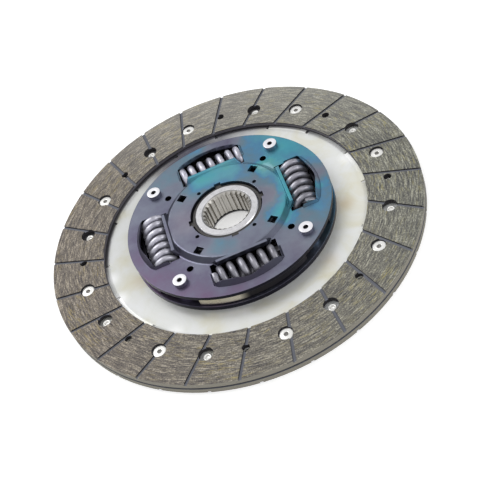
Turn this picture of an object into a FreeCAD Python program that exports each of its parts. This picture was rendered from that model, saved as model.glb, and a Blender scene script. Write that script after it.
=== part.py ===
import FreeCAD, Part
import math
import os

import PartDesign
import Sketcher
from FreeCAD import Placement, Rotation, Vector

# Driving sizes, in millimetres and degrees
SIZES = [
    ("FacingOuterDiameter", 224.0, "outside of both friction facings"),
    ("FacingBoreShare", 0.714286, "inside of both facings, as a share of their outside"),
    ("FacingThickness", 3.0, "one facing"),
    ("FacingGap", 1.4, "between the two facings, at the rim"),
    ("GrooveCount", 24, "straight grooves in a facing"),
    ("GrooveWidth", 1.9, "across a groove"),
    ("GrooveDepth", 0.9, "into the friction face"),
    ("GrooveOffset", 24.4, "from the groove pattern's centre to a groove's centre line"),
    ("GrooveLean", 13.3, "turn of the first groove, so that it runs by a rivet"),
    ("GroovePatternShift", 2.9, "groove pattern's centre, off the disc's axis"),
    ("RivetGroupCount", 8, "repeats of the rivet pattern round a facing"),
    ("RivetInset", 19.3, "from a facing's outside to a rivet's axis"),
    ("RivetStep", 17.5, "angle from a rivet head to the next rivet's tail"),
    ("CounterboreDiameter", 8.6, "recess for a rivet head, and clearance for a tail"),
    ("CounterboreDepth", 1.9, "from the friction face to the seat of a head"),
    ("RivetHeadDiameter", 7.9, "flat rivet head"),
    ("RivetHeadThickness", 0.9, "flat rivet head"),
    ("RivetShankDiameter", 4.2, "rivet shank"),
    ("RivetClearance", 0.1, "between a rivet shank and its hole, on the radius"),
    ("RivetTailDiameter", 5.6, "rolled tail"),
    ("RivetTailThickness", 1.0, "rolled tail"),
    ("RivetBoreDiameter", 2.4, "hollow of the tail"),
    ("BalanceHoleDiameter", 4.5, "plain through hole between two rivets"),
    ("FacingTurn", 3.9, "angle from a spring window to a rivet head"),
    ("CushionThickness", 0.7, "spring steel sheet"),
    ("CushionInnerRadius", 59.0, "inside of the cushion plate, between its lugs"),
    ("TabInset", 3.5, "from a facing's outside to the outer end of the cushion plate's tabs"),
    ("TabRootInset", 2.4, "from a facing's inside to where the tabs start to bend"),
    ("TabFlatReach", 0.4, "from a facing's inside to where the tabs reach the facing"),
    ("RaisedTabAngle", 19.0, "sector of a tab that carries the upper facing"),
    ("TabSlotAngle", 1.2, "sector of the slot between two tabs"),
    ("LugInnerRadius", 46.5, "inner end of the lugs under the stop pins"),
    ("LugAngle", 26.0, "sector of a lug"),
    ("PlateGap", 6.4, "between the cover plate and the disc plate"),
    ("PlateOuterDiameter", 123.0, "cover plate and disc plate"),
    ("CoverThickness", 2.2, "cover plate sheet"),
    ("DiscPlateThickness", 2.7, "disc plate sheet"),
    ("PlateBoreDiameter", 43.2, "centre hole of both plates"),
    ("BoreNotchWidth", 4.0, "notches in the centre hole"),
    ("BoreNotchDepth", 1.3, "notches in the centre hole"),
    ("PlateauBaseDiameter", 76.8, "foot of the raised centre"),
    ("PlateauTopDiameter", 70.4, "brow of the raised centre"),
    ("PlateauRise", 2.9, "height of the raised centre"),
    ("StepShift", 1.0, "the step's inner side, nearer the axis by this"),
    ("StepFillet", 1.2, "rounding of the step's outer side"),
    ("SpringCount", 4, "damper springs and their windows"),
    ("SpringCircleRadius", 43.4, "from the disc's axis to the middle of a spring"),
    ("SpringDiameter", 17.4, "outside of a damper spring"),
    ("SpringWire", 3.9, "spring wire"),
    ("SpringTurns", 6.75, "turns from end to end"),
    ("SpringEndTurns", 0.75, "closed turns at each end"),
    ("SpringEndPitch", 3.6, "rise of the closed turns, per turn"),
    ("SpringSide", 0.2, "between a spring and the plates, on the radius"),
    ("SpringEnd", 0.1, "between a spring's end and its window"),
    ("WindowLength", 39.4, "spring windows, along the spring"),
    ("WindowInner", 34.2, "a window's inner edge at its ends, from the axis"),
    ("WindowPeak", 54.2, "top of a window's peaked outer edge, from the axis"),
    ("WindowPeakRadius", 18.4, "rounding of that peak"),
    ("WindowLean", 15.8, "slope of the outer edge on each side of its peak"),
    ("HoodFoot", 55.9, "foot of the drawn hood at its middle, from the axis"),
    ("HoodFootRadius", 43.0, "curve of that foot"),
    ("HoodLength", 41.8, "hood, along the spring"),
    ("HoodCorner", 2.1, "cut across the hood's corners"),
    ("HoodRise", 3.0, "height of the hood above its plate"),
    ("HoodTaper", 38.0, "lean of the hood's sides from upright"),
    ("HoodInset", 0.8, "drawn hollow inside the foot"),
    ("LipEdge", 37.1, "free edge of the lip at a window's inner side, from the axis"),
    ("LipRise", 3.7, "height of that lip above its plate"),
    ("LipWidth", 1.8, "across the top of that lip"),
    ("LipLength", 30.4, "free edge of that lip"),
    ("LipSlant", 2.2, "slant at each end of that lip"),
    ("PinCircleRadius", 53.2, "from the disc's axis to a stop pin"),
    ("PinBarrelDiameter", 9.0, "stop pin between the plates"),
    ("PinTenonDiameter", 6.2, "stop pin through the plates"),
    ("PinHeadDiameter", 8.2, "upper head of a stop pin"),
    ("PinHeadHeight", 2.8, "upper head of a stop pin"),
    ("PinHeadChamfer", 0.4, "upper head of a stop pin"),
    ("PinDimpleDiameter", 2.4, "dimple in the upper head"),
    ("PinDimpleDepth", 0.9, "dimple in the upper head"),
    ("PinTailDiameter", 8.8, "riveted lower end of a stop pin"),
    ("PinTailHeight", 1.5, "riveted lower end of a stop pin"),
    ("PinClearance", 0.05, "between a stop pin and its holes, on the radius"),
    ("LocatingCircleRadius", 43.1, "from the axis to the round locating holes"),
    ("LocatingHoleDiameter", 4.0, "round locating holes"),
    ("SquareCircleRadius", 31.8, "from the axis to the square holes"),
    ("SquareHoleSide", 4.8, "square holes in the raised centre"),
    ("OilHoleCircleRadius", 23.9, "from the axis to the small holes by the bore"),
    ("OilHoleDiameter", 2.4, "small holes by the bore"),
    ("OilHoleTurn", 30.0, "angle from a spring window to a small hole"),
    ("FlangeDiameter", 120.4, "hub flange"),
    ("FlangeThickness", 4.6, "hub flange"),
    ("FlangeWindowSide", 0.3, "between a spring and the hub flange"),
    ("NotchTravel", 8.0, "turn each way before the pins stop the flange"),
    ("NotchClearance", 0.3, "left between pin and notch at full turn"),
    ("BarrelDiameter", 38.3, "outside of the hub"),
    ("HubTop", 7.7, "hub end above the middle of its flange"),
    ("HubBottom", 9.05, "hub end below the middle of its flange"),
    ("HubChamfer", 0.6, "outer edges of the hub"),
    ("SplineTeeth", 28, "teeth in the hub's bore"),
    ("SplineTipDiameter", 26.4, "across the teeth"),
    ("SplineRootDiameter", 28.8, "across the spaces"),
    ("SpaceTipWidth", 1.75, "width of a space between the teeth's tips"),
    ("SpaceRootWidth", 1.15, "width of a space at its floor"),
    ("SplineLeadDiameter", 30.4, "mouth of the lead-in at each end"),
    ("SplineLeadDepth", 1.5, "depth of the lead-in"),
    ("RunningClearance", 0.1, "between the turning hub and what guides it"),
    ("BushWall", 1.35, "bush between hub and plate"),
    ("BushTabClearance", 0.15, "between a bush's tab and its notch"),
    ("BushDepth", 1.5, "top of a bush below the raised centre"),
    ("BushTabThickness", 0.6, "tabs of a bush"),
    ("WasherInnerRadius", 21.0, "friction washers"),
    ("WasherOuterRadius", 33.0, "friction washers"),
    ("WasherThickness", 1.2, "friction washers"),
    ("ControlThickness", 0.8, "control plate sheet"),
    ("ControlTabWidth", 4.4, "control plate tabs in the square holes"),
    ("ControlTabReach", 0.6, "of those tabs into their holes"),
    ("ConeInnerRadius", 22.5, "cone spring"),
    ("ConeOuterRadius", 29.0, "cone spring"),
    ("ConeThickness", 0.8, "cone spring"),
]

# How far each spring has rolled about its own axis in its window, in degrees
SPRING_ROLLS = (0.0, 100.0, 130.0, 0.0)

# Fineness of the spring wire: sides of its section, and runs in one turn
WIRE_SIDES = 6
RUNS_PER_TURN = 12

doc = FreeCAD.newDocument("ClutchDisc")
sheet = doc.addObject("Spreadsheet::Sheet", "Sizes")
for row, (alias, number, meaning) in enumerate(SIZES, start=1):
    sheet.set("A%d" % row, meaning)
    sheet.set("B%d" % row, "%g" % number)
    sheet.setAlias("B%d" % row, alias)
doc.recompute()


class Size:
    """A size as a number, with the formula over the sheet's cells that gives it."""

    def __init__(self, number, formula):
        self.number = number
        self.formula = formula

    def combined(self, other, sign, number):
        right = other.formula if isinstance(other, Size) else "%g" % other
        return Size(number, "(%s %s %s)" % (self.formula, sign, right))

    def __add__(self, other):
        return self.combined(other, "+", self.number + plain(other))

    def __sub__(self, other):
        return self.combined(other, "-", self.number - plain(other))

    def __mul__(self, other):
        return self.combined(other, "*", self.number * plain(other))

    def __truediv__(self, other):
        return self.combined(other, "/", self.number / plain(other))

    def __neg__(self):
        return Size(-self.number, "(0 - %s)" % self.formula)


def plain(value):
    return value.number if isinstance(value, Size) else value


def size(alias):
    return Size(float(sheet.get(alias)), "Sizes." + alias)


def root(value):
    return Size(math.sqrt(value.number), "sqrt(%s)" % value.formula)


def sine(angle):
    return Size(math.sin(math.radians(angle.number)), "sin(%s * 1deg)" % angle.formula)


def cosine(angle):
    return Size(math.cos(math.radians(angle.number)), "cos(%s * 1deg)" % angle.formula)


def tangent(angle):
    return Size(math.tan(math.radians(angle.number)), "tan(%s * 1deg)" % angle.formula)


def angle_of_sine(ratio):
    return Size(math.degrees(math.asin(ratio.number)), "(asin(%s) / 1deg)" % ratio.formula)


ZERO = Size(0.0, "0")

# Heights above the lower friction face
MIDDLE = size("FacingThickness") + size("FacingGap") / 2
FLANGE_MIDDLE = MIDDLE + size("CushionThickness") / 2 + size("DiscPlateThickness") + size("PlateGap") / 2

# Sizes that several pieces share
FACING_TOP = size("FacingThickness") + size("FacingGap") / 2
FACING_OUTER = size("FacingOuterDiameter") / 2
FACING_INNER = FACING_OUTER * size("FacingBoreShare")
RIVET_CIRCLE = FACING_OUTER - size("RivetInset")
TAB_OUTER = FACING_OUTER - size("TabInset")
TAB_ROOT = FACING_INNER - size("TabRootInset")
TAB_FLAT = FACING_INNER + size("TabFlatReach")
PLATE_INSIDE = size("PlateGap") / 2
GROUP_ANGLE = Size(360.0, "360") / size("RivetGroupCount")
WINDOW_ANGLE = Size(360.0, "360") / size("SpringCount")
PIN_ANGLE = WINDOW_ANGLE / 2
SPRING_REACH = size("SpringDiameter") / 2 + size("SpringSide")
WINDOW_HALF_LENGTH = size("WindowLength") / 2



# Bodies, sketches and features

def new_body(label):
    body = doc.addObject("PartDesign::Body", label)
    body.Label = label
    return body


def part_of_origin(body, role):
    for feature in body.Origin.OriginFeatures:
        if feature.Role == role:
            return feature
    raise ValueError("no origin feature with the role " + role)


def new_sketch(body, plane, offset=None, turn=None, shift=None):
    """A sketch on an origin plane: moved along its normal, turned about the body's Z axis, or shifted along Y."""
    sketch = body.newObject("Sketcher::SketchObject", body.Label + "_sketch")
    sketch.AttachmentSupport = [(part_of_origin(body, plane), "")]
    sketch.MapMode = "FlatFace"
    if turn is not None:
        axis = Vector(0, 0, 1) if plane == "XY_Plane" else Vector(0, 1, 0)
        sketch.AttachmentOffset = Placement(Vector(0, 0, 0), Rotation(axis, turn.number))
        sketch.setExpression("AttachmentOffset.Rotation.Angle", turn.formula)
    if offset is not None:
        sketch.setExpression("AttachmentOffset.Base.z", offset.formula)
    if shift is not None:
        sketch.setExpression("AttachmentOffset.Base.y", shift.formula)
    return sketch


def fix(sketch, kind, references, value):
    """A dimension in a sketch, bound to its formula."""
    index = sketch.addConstraint(Sketcher.Constraint(kind, *references, value.number))
    sketch.setExpression("Constraints[%d]" % index, value.formula)


def polygon(sketch, corners):
    """A closed outline of straight lines, each corner placed by two dimensions."""
    points = [Vector(x.number, y.number, 0) for x, y in corners]
    lines = []
    for start, end in zip(points, points[1:] + points[:1]):
        lines.append(sketch.addGeometry(Part.LineSegment(start, end), False))
    for line, following in zip(lines, lines[1:] + lines[:1]):
        sketch.addConstraint(Sketcher.Constraint("Coincident", line, 2, following, 1))
    for line, (x, y) in zip(lines, corners):
        fix(sketch, "DistanceX", (line, 1), x)
        fix(sketch, "DistanceY", (line, 1), y)
    return lines


def rectangle(sketch, left, right, bottom, top):
    polygon(sketch, [(left, bottom), (right, bottom), (right, top), (left, top)])


def arched(sketch, radius, corners):
    """A closed outline: straight lines from corner to corner, and an arc from the last one round to the first."""
    points = [Vector(x.number, y.number, 0) for x, y in corners]
    reach = radius.number
    middle = points[0].x - math.sqrt(reach * reach - points[0].y * points[0].y)
    angle = math.asin(points[0].y / reach)
    whole = Part.Circle(Vector(middle, 0, 0), Vector(0, 0, 1), reach)
    arc = sketch.addGeometry(Part.ArcOfCircle(whole, -angle, angle), False)
    lines = []
    for start, end in zip(points, points[1:]):
        lines.append(sketch.addGeometry(Part.LineSegment(start, end), False))
    for line, following in zip(lines, lines[1:]):
        sketch.addConstraint(Sketcher.Constraint("Coincident", line, 2, following, 1))
    sketch.addConstraint(Sketcher.Constraint("Coincident", arc, 2, lines[0], 1))
    sketch.addConstraint(Sketcher.Constraint("Coincident", lines[-1], 2, arc, 1))
    fix(sketch, "Radius", (arc,), radius)
    ends = [(line, 1) for line in lines] + [(lines[-1], 2)]
    for end, (x, y) in zip(ends, corners):
        fix(sketch, "DistanceX", end, x)
        fix(sketch, "DistanceY", end, y)


def circle(sketch, x, y, radius):
    curve = Part.Circle(Vector(x.number, y.number, 0), Vector(0, 0, 1), radius.number)
    index = sketch.addGeometry(curve, False)
    fix(sketch, "DistanceX", (index, 3), x)
    fix(sketch, "DistanceY", (index, 3), y)
    fix(sketch, "Radius", (index,), radius)


def ring(sketch, inner, outer):
    circle(sketch, ZERO, ZERO, inner)
    circle(sketch, ZERO, ZERO, outer)


def pad(body, sketch, length, symmetric=False, taper=None):
    feature = body.newObject("PartDesign::Pad", body.Label + "_pad")
    feature.Profile = sketch
    feature.SideType = "Symmetric" if symmetric else "One side"
    feature.setExpression("Length", length.formula)
    if taper is not None:
        feature.setExpression("TaperAngle", (-taper).formula)
    sketch.Visibility = False
    return feature


def pocket(body, sketch, length, symmetric=False, upward=False, taper=None):
    """A cut from the sketch: against its normal, or along it when upward."""
    feature = body.newObject("PartDesign::Pocket", body.Label + "_pocket")
    feature.Profile = sketch
    feature.SideType = "Symmetric" if symmetric else "One side"
    feature.Reversed = upward
    feature.setExpression("Length", length.formula)
    if taper is not None:
        feature.setExpression("TaperAngle", (-taper).formula)
    sketch.Visibility = False
    return feature


def turned(body, sketch, kind="PartDesign::Revolution", sector=None, axis="V_Axis"):
    """A turned solid or groove, all the way round or over a sector centred on the sketch."""
    feature = body.newObject(kind, body.Label + "_turned")
    feature.Profile = sketch
    feature.ReferenceAxis = (sketch, [axis])
    feature.Angle = 360
    if sector is not None:
        feature.Midplane = True
        feature.setExpression("Angle", sector.formula)
    sketch.Visibility = False
    return feature


def round_pattern(body, features, count, about=None):
    """Repeats features round the body's axis, or round the middle of another sketch."""
    feature = body.newObject("PartDesign::PolarPattern", body.Label + "_pattern")
    feature.Originals = features
    feature.Axis = (part_of_origin(body, "Z_Axis"), [""]) if about is None else (about, ["N_Axis"])
    feature.Angle = 360
    feature.setExpression("Occurrences", count.formula)
    body.Tip = feature
    return feature


def fillet_circles(body, base, circles, radius):
    """Rounds the circular edges of the base that have these radii and heights."""
    doc.recompute()
    names = []
    for number, edge in enumerate(base.Shape.Edges, start=1):
        if not isinstance(edge.Curve, Part.Circle):
            continue
        for wanted, height in circles:
            same_size = abs(edge.Curve.Radius - wanted.number) < 1e-4
            same_height = abs(edge.Curve.Center.z - height.number) < 1e-4
            if same_size and same_height:
                names.append("Edge%d" % number)
    feature = body.newObject("PartDesign::Fillet", body.Label + "_fillet")
    feature.Base = (base, names)
    feature.setExpression("Radius", radius.formula)
    return feature


def place(body, height, turned_over_about=None, turn=None):
    """Sets a piece at its height, turned about Z, or turned over about a level line at an angle."""
    rotation = Rotation()
    if turn is not None:
        rotation = Rotation(Vector(0, 0, 1), turn.number)
    if turned_over_about is not None:
        angle = math.radians(turned_over_about.number)
        rotation = Rotation(Vector(math.cos(angle), math.sin(angle), 0), 180)
    body.Placement = Placement(Vector(0, 0, height.number), rotation)
    body.setExpression("Placement.Base.z", height.formula)


# Friction facings, seen with the disc's middle plane at height nought

def facing(label):
    """A moulded ring with straight grooves, seats for its own rivet heads and clearance for the others."""
    body = new_body(label)
    blank = new_sketch(body, "XY_Plane", offset=size("FacingGap") / 2)
    ring(blank, FACING_INNER, FACING_OUTER)
    pad(body, blank, size("FacingThickness"))

    groove = new_sketch(
        body, "XY_Plane", offset=FACING_TOP, turn=-size("GrooveLean"), shift=size("GroovePatternShift"))
    bottom = size("GrooveOffset") - size("GrooveWidth") / 2
    top = size("GrooveOffset") + size("GrooveWidth") / 2
    start = FACING_INNER - size("GrooveOffset")
    rectangle(groove, start, FACING_OUTER + size("GroovePatternShift"), bottom, top)
    groove_cut = pocket(body, groove, size("GrooveDepth"))
    round_pattern(body, [groove_cut], size("GrooveCount"), about=groove)

    seat = new_sketch(body, "XY_Plane", offset=FACING_TOP)
    circle(seat, RIVET_CIRCLE, ZERO, size("CounterboreDiameter") / 2)
    seat_cut = pocket(body, seat, size("CounterboreDepth"))

    through = new_sketch(body, "XY_Plane", offset=FACING_TOP)
    shank_hole = size("RivetShankDiameter") / 2 + size("RivetClearance")
    circle(through, RIVET_CIRCLE, ZERO, shank_hole)
    step = size("RivetStep")
    radius = RIVET_CIRCLE
    circle(through, radius * cosine(step), radius * sine(step), size("CounterboreDiameter") / 2)
    plain_turn = (GROUP_ANGLE + step) / 2
    hole = size("BalanceHoleDiameter") / 2
    circle(through, radius * cosine(plain_turn), radius * sine(plain_turn), hole)
    through_cut = pocket(body, through, size("FacingThickness"))
    round_pattern(body, [seat_cut, through_cut], size("RivetGroupCount"))
    return body


def facing_rivets(label):
    """Eight tubular rivets: flat heads sunk in one facing, tails rolled over under the raised tabs."""
    body = new_body(label)
    profile = new_sketch(body, "XZ_Plane")
    axis = RIVET_CIRCLE
    seat = FACING_TOP - size("CounterboreDepth")
    head_top = seat + size("RivetHeadThickness")
    tab_under = size("FacingGap") / 2 - size("CushionThickness")
    tail_end = tab_under - size("RivetTailThickness")
    head = axis + size("RivetHeadDiameter") / 2
    shank = axis + size("RivetShankDiameter") / 2
    tail = axis + size("RivetTailDiameter") / 2
    bore = axis + size("RivetBoreDiameter") / 2
    polygon(profile, [
        (axis, head_top), (head, head_top), (head, seat), (shank, seat),
        (shank, tab_under), (tail, tab_under), (tail, tail_end), (bore, tail_end),
        (bore, tab_under), (axis, tab_under),
    ])
    centre = Part.LineSegment(Vector(axis.number, -5, 0), Vector(axis.number, 5, 0))
    line = profile.addGeometry(centre, True)
    profile.addConstraint(Sketcher.Constraint("Vertical", line))
    fix(profile, "DistanceX", (line, 1), axis)
    rivet = turned(body, profile, axis="Axis0")
    round_pattern(body, [rivet], size("RivetGroupCount"))
    return body


def turn_over_angle():
    """The level line about which one facing turns over to become the other."""
    return (size("FacingTurn") + size("RivetStep")) / 2


# Cushion plate: one spring-steel sheet with lugs for the stop pins and sixteen springy tabs

def tab_profile(sketch, shift):
    half = size("CushionThickness") / 2
    overlap = size("CushionThickness")
    inner = TAB_ROOT - overlap
    polygon(sketch, [
        (inner, -half), (TAB_ROOT, -half), (TAB_FLAT, shift - half), (TAB_OUTER, shift - half),
        (TAB_OUTER, shift + half), (TAB_FLAT, shift + half), (TAB_ROOT, half), (inner, half),
    ])


def cushion_plate():
    body = new_body("cushion_plate")
    half = size("CushionThickness") / 2
    web = new_sketch(body, "XY_Plane", offset=-half)
    ring(web, size("CushionInnerRadius"), TAB_ROOT)
    pad(body, web, size("CushionThickness"))

    lug = new_sketch(body, "XZ_Plane", turn=PIN_ANGLE)
    overlap = size("CushionInnerRadius") + size("CushionThickness")
    rectangle(lug, size("LugInnerRadius"), overlap, -half, half)
    lug_pad = turned(body, lug, sector=size("LugAngle"))
    pin_hole = new_sketch(body, "XY_Plane", offset=half, turn=PIN_ANGLE)
    circle(pin_hole, size("PinCircleRadius"), ZERO, size("PinTenonDiameter") / 2 + size("PinClearance"))
    pin_cut = pocket(body, pin_hole, size("CushionThickness"))
    round_pattern(body, [lug_pad, pin_cut], size("SpringCount"))

    shift = size("FacingGap") / 2 - half
    raised = new_sketch(body, "XZ_Plane", turn=size("FacingTurn"))
    tab_profile(raised, shift)
    raised_tab = turned(body, raised, sector=size("RaisedTabAngle"))
    lowered = new_sketch(body, "XZ_Plane", turn=size("FacingTurn") + GROUP_ANGLE / 2)
    tab_profile(lowered, -shift)
    lowered_angle = GROUP_ANGLE - size("RaisedTabAngle") - size("TabSlotAngle") * 2
    lowered_tab = turned(body, lowered, sector=lowered_angle)

    holes = new_sketch(body, "XY_Plane", offset=size("FacingGap") / 2, turn=size("FacingTurn"))
    radius = RIVET_CIRCLE
    step = size("RivetStep")
    plain_turn = (GROUP_ANGLE + step) / 2
    shank_hole = size("RivetShankDiameter") / 2 + size("RivetClearance")
    circle(holes, radius, ZERO, shank_hole)
    circle(holes, radius * cosine(step), radius * sine(step), shank_hole)
    hole = size("BalanceHoleDiameter") / 2
    circle(holes, radius * cosine(plain_turn), radius * sine(plain_turn), hole)
    holes_cut = pocket(body, holes, size("FacingGap"))
    round_pattern(body, [raised_tab, lowered_tab, holes_cut], size("RivetGroupCount"))
    return body


# Cover plate and disc plate, with the hub flange's middle plane at height nought

def retainer_blank(body, thickness):
    """The pressed sheet: a flat ring with a raised round centre and a bore."""
    outside = PLATE_INSIDE + thickness
    rise = size("PlateauRise")
    rim = size("PlateOuterDiameter") / 2
    foot = size("PlateauBaseDiameter") / 2
    brow = size("PlateauTopDiameter") / 2
    bore = size("PlateBoreDiameter") / 2
    shift = size("StepShift")
    section = new_sketch(body, "XZ_Plane")
    polygon(section, [
        (rim, PLATE_INSIDE), (rim, outside), (foot, outside), (brow, outside + rise),
        (bore, outside + rise), (bore, PLATE_INSIDE + rise),
        (brow - shift, PLATE_INSIDE + rise), (foot - shift, PLATE_INSIDE),
    ])
    blank = turned(body, section)
    edges = [(foot, outside), (brow, outside + rise)]
    fillet_circles(body, blank, edges, size("StepFillet"))


def window_outline(sketch):
    """Straight ends, a lip's edge on the inner side, and an outer edge that rises to a rounded peak."""
    half = WINDOW_HALF_LENGTH
    lean = size("WindowLean")
    radius = size("WindowPeakRadius")
    arc_half = radius * sine(lean)
    arc_end = size("WindowPeak") - radius + radius * cosine(lean)
    corner = arc_end - (half - arc_half) * tangent(lean)
    inner = size("WindowInner")
    lip = size("LipEdge")
    lip_half = size("LipLength") / 2
    lip_foot = lip_half + size("LipSlant")
    arched(sketch, radius, [
        (arc_end, arc_half), (corner, half), (inner, half), (inner, lip_foot), (lip, lip_half),
        (lip, -lip_half), (inner, -lip_foot), (inner, -half), (corner, -half), (arc_end, -arc_half),
    ])


def hood_outline(sketch, half, inset):
    """The hood's foot: a curved outer side, cut corners and straight ends."""
    radius = size("HoodFootRadius")
    corner = size("HoodCorner")
    arc_half = half - corner
    arc_end = size("HoodFoot") - radius + root(radius * radius - arc_half * arc_half) - inset
    inner = size("SpringCircleRadius") - size("HoodRise")
    arched(sketch, radius, [
        (arc_end, arc_half), (arc_end - corner, half), (inner, half),
        (inner, -half), (arc_end - corner, -half), (arc_end, -arc_half),
    ])


def spring_windows(body, thickness):
    """Windows with a drawn hood outside each spring and a drawn lip inside it."""
    outside = PLATE_INSIDE + thickness
    tall = outside + size("LipRise") * 2
    taper = size("HoodTaper")
    hood = new_sketch(body, "XY_Plane", offset=outside)
    hood_outline(hood, size("HoodLength") / 2, ZERO)
    hood_pad = pad(body, hood, size("HoodRise"), taper=taper)

    centre_under = PLATE_INSIDE + size("PlateauRise")
    lip_height = outside + size("LipRise") - centre_under
    lip = new_sketch(body, "XY_Plane", offset=centre_under)
    spread = lip_height * tangent(taper)
    foot_half = size("LipLength") / 2 + spread
    near = size("LipEdge") - size("LipWidth") - spread
    far = size("LipEdge") + spread + size("SpringSide")
    rectangle(lip, near, far, -foot_half, foot_half)
    lip_pad = pad(body, lip, lip_height, taper=taper)

    window = new_sketch(body, "XY_Plane")
    window_outline(window)
    window_cut = pocket(body, window, tall, upward=True)

    hollow = new_sketch(body, "XY_Plane", offset=PLATE_INSIDE)
    hood_outline(hollow, WINDOW_HALF_LENGTH, size("HoodInset"))
    depth = size("HoodRise")
    hollow_cut = pocket(body, hollow, depth, upward=True, taper=taper)

    seat = new_sketch(body, "XZ_Plane")
    circle(seat, size("SpringCircleRadius"), ZERO, SPRING_REACH)
    seat_cut = pocket(body, seat, size("WindowLength"), symmetric=True)
    round_pattern(body, [hood_pad, lip_pad, window_cut, hollow_cut, seat_cut], size("SpringCount"))


def retainer_holes(body, outside, centre_holes):
    """Holes for the stop pins, round locating holes and notches in the bore, and those of the raised centre."""
    tall = outside + size("PlateauRise")
    holes = new_sketch(body, "XY_Plane", turn=PIN_ANGLE)
    circle(holes, size("PinCircleRadius"), ZERO, size("PinTenonDiameter") / 2 + size("PinClearance"))
    circle(holes, size("LocatingCircleRadius"), ZERO, size("LocatingHoleDiameter") / 2)
    cuts = [pocket(body, holes, tall, upward=True)]

    notch = new_sketch(body, "XY_Plane")
    reach = size("PlateBoreDiameter") / 2 + size("BoreNotchDepth")
    half = size("BoreNotchWidth") / 2
    rectangle(notch, reach - size("BoreNotchWidth"), reach, -half, half)
    cuts.append(pocket(body, notch, tall, upward=True))

    if centre_holes:
        square = new_sketch(body, "XY_Plane", turn=PIN_ANGLE)
        side = size("SquareHoleSide") / 2
        middle = size("SquareCircleRadius")
        rectangle(square, middle - side, middle + side, -side, side)
        cuts.append(pocket(body, square, tall, upward=True))
        oil = new_sketch(body, "XY_Plane", turn=size("OilHoleTurn"))
        circle(oil, size("OilHoleCircleRadius"), ZERO, size("OilHoleDiameter") / 2)
        cuts.append(pocket(body, oil, tall, upward=True))
    round_pattern(body, cuts, size("SpringCount"))


def retainer_plate(label, thickness, centre_holes):
    body = new_body(label)
    outside = PLATE_INSIDE + thickness
    retainer_blank(body, thickness)
    spring_windows(body, thickness)
    retainer_holes(body, outside, centre_holes)
    return body


# Hub

def hub():
    """A splined hub and its flange, one forging: windows for the springs and notches for the stop pins."""
    body = new_body("hub")
    barrel = size("BarrelDiameter") / 2
    chamfer = size("HubChamfer")
    top = size("HubTop")
    bottom = -size("HubBottom")
    tip = size("SplineTipDiameter") / 2
    section = new_sketch(body, "XZ_Plane")
    polygon(section, [
        (tip, bottom), (barrel - chamfer, bottom), (barrel, bottom + chamfer),
        (barrel, top - chamfer), (barrel - chamfer, top), (tip, top),
    ])
    turned(body, section)

    rim = size("FlangeDiameter") / 2
    flange = new_sketch(body, "XY_Plane")
    ring(flange, (tip + barrel) / 2, rim)
    pad(body, flange, size("FlangeThickness"), symmetric=True)

    window = new_sketch(body, "XY_Plane")
    side = size("SpringDiameter") / 2 + size("FlangeWindowSide")
    middle = size("SpringCircleRadius")
    rectangle(window, middle - side, middle + side, -WINDOW_HALF_LENGTH, WINDOW_HALF_LENGTH)
    window_cut = pocket(body, window, size("FlangeThickness"), symmetric=True)

    notch = new_sketch(body, "XY_Plane", turn=PIN_ANGLE)
    pin = size("PinBarrelDiameter") / 2 + size("NotchClearance")
    half_angle = size("NotchTravel") + angle_of_sine(pin / size("PinCircleRadius"))
    floor = size("PinCircleRadius") - pin
    mouth = rim * 1.1
    polygon(notch, [
        (floor * cosine(half_angle), -floor * sine(half_angle)),
        (mouth * cosine(half_angle), -mouth * sine(half_angle)),
        (mouth * cosine(half_angle), mouth * sine(half_angle)),
        (floor * cosine(half_angle), floor * sine(half_angle)),
    ])
    notch_cut = pocket(body, notch, size("FlangeThickness"), symmetric=True)
    round_pattern(body, [window_cut, notch_cut], size("SpringCount"))

    space = new_sketch(body, "XY_Plane", offset=bottom)
    root_radius = size("SplineRootDiameter") / 2
    inner = tip - size("SpaceTipWidth") / 4
    polygon(space, [
        (inner, -size("SpaceTipWidth") / 2), (root_radius, -size("SpaceRootWidth") / 2),
        (root_radius, size("SpaceRootWidth") / 2), (inner, size("SpaceTipWidth") / 2),
    ])
    space_cut = pocket(body, space, top - bottom, upward=True)
    round_pattern(body, [space_cut], size("SplineTeeth"))

    lead = size("SplineLeadDiameter") / 2
    depth = size("SplineLeadDepth")
    clear = tip - size("SplineLeadDepth") / 2
    for end, inner_end in ((top, top - depth), (bottom, bottom + depth)):
        mouth_cut = new_sketch(body, "XZ_Plane")
        polygon(mouth_cut, [(clear, inner_end), (tip, inner_end), (lead, end), (clear, end)])
        turned(body, mouth_cut, kind="PartDesign::Groove")
    return body


# Friction device round the hub

def bush(label, thickness):
    """A sleeve that centres the hub in a plate, with tabs in the notches of the plate's bore."""
    body = new_body(label)
    inner = size("BarrelDiameter") / 2 + size("RunningClearance")
    outer = inner + size("BushWall")
    low = size("FlangeThickness") / 2 + size("RunningClearance")
    under = PLATE_INSIDE + size("PlateauRise")
    high = under + thickness - size("BushDepth")
    tab_top = under + size("BushTabThickness")
    section = new_sketch(body, "XZ_Plane")
    rectangle(section, inner, outer, low, high)
    turned(body, section)
    clearance = size("BushTabClearance")
    reach = size("PlateBoreDiameter") / 2 + size("BoreNotchDepth") - clearance
    half = size("BoreNotchWidth") / 2 - clearance
    tab = new_sketch(body, "XY_Plane", offset=under)
    rectangle(tab, (inner + outer) / 2, reach, -half, half)
    tab_pad = pad(body, tab, tab_top - under)
    round_pattern(body, [tab_pad], size("SpringCount"))
    return body


def turned_washer(label, corners):
    body = new_body(label)
    section = new_sketch(body, "XZ_Plane")
    polygon(section, corners)
    turned(body, section)
    return body


def flat_washer(label, bottom, thickness):
    inner = size("WasherInnerRadius")
    outer = size("WasherOuterRadius")
    top = bottom + thickness
    return turned_washer(label, [(inner, bottom), (outer, bottom), (outer, top), (inner, top)])


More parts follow.
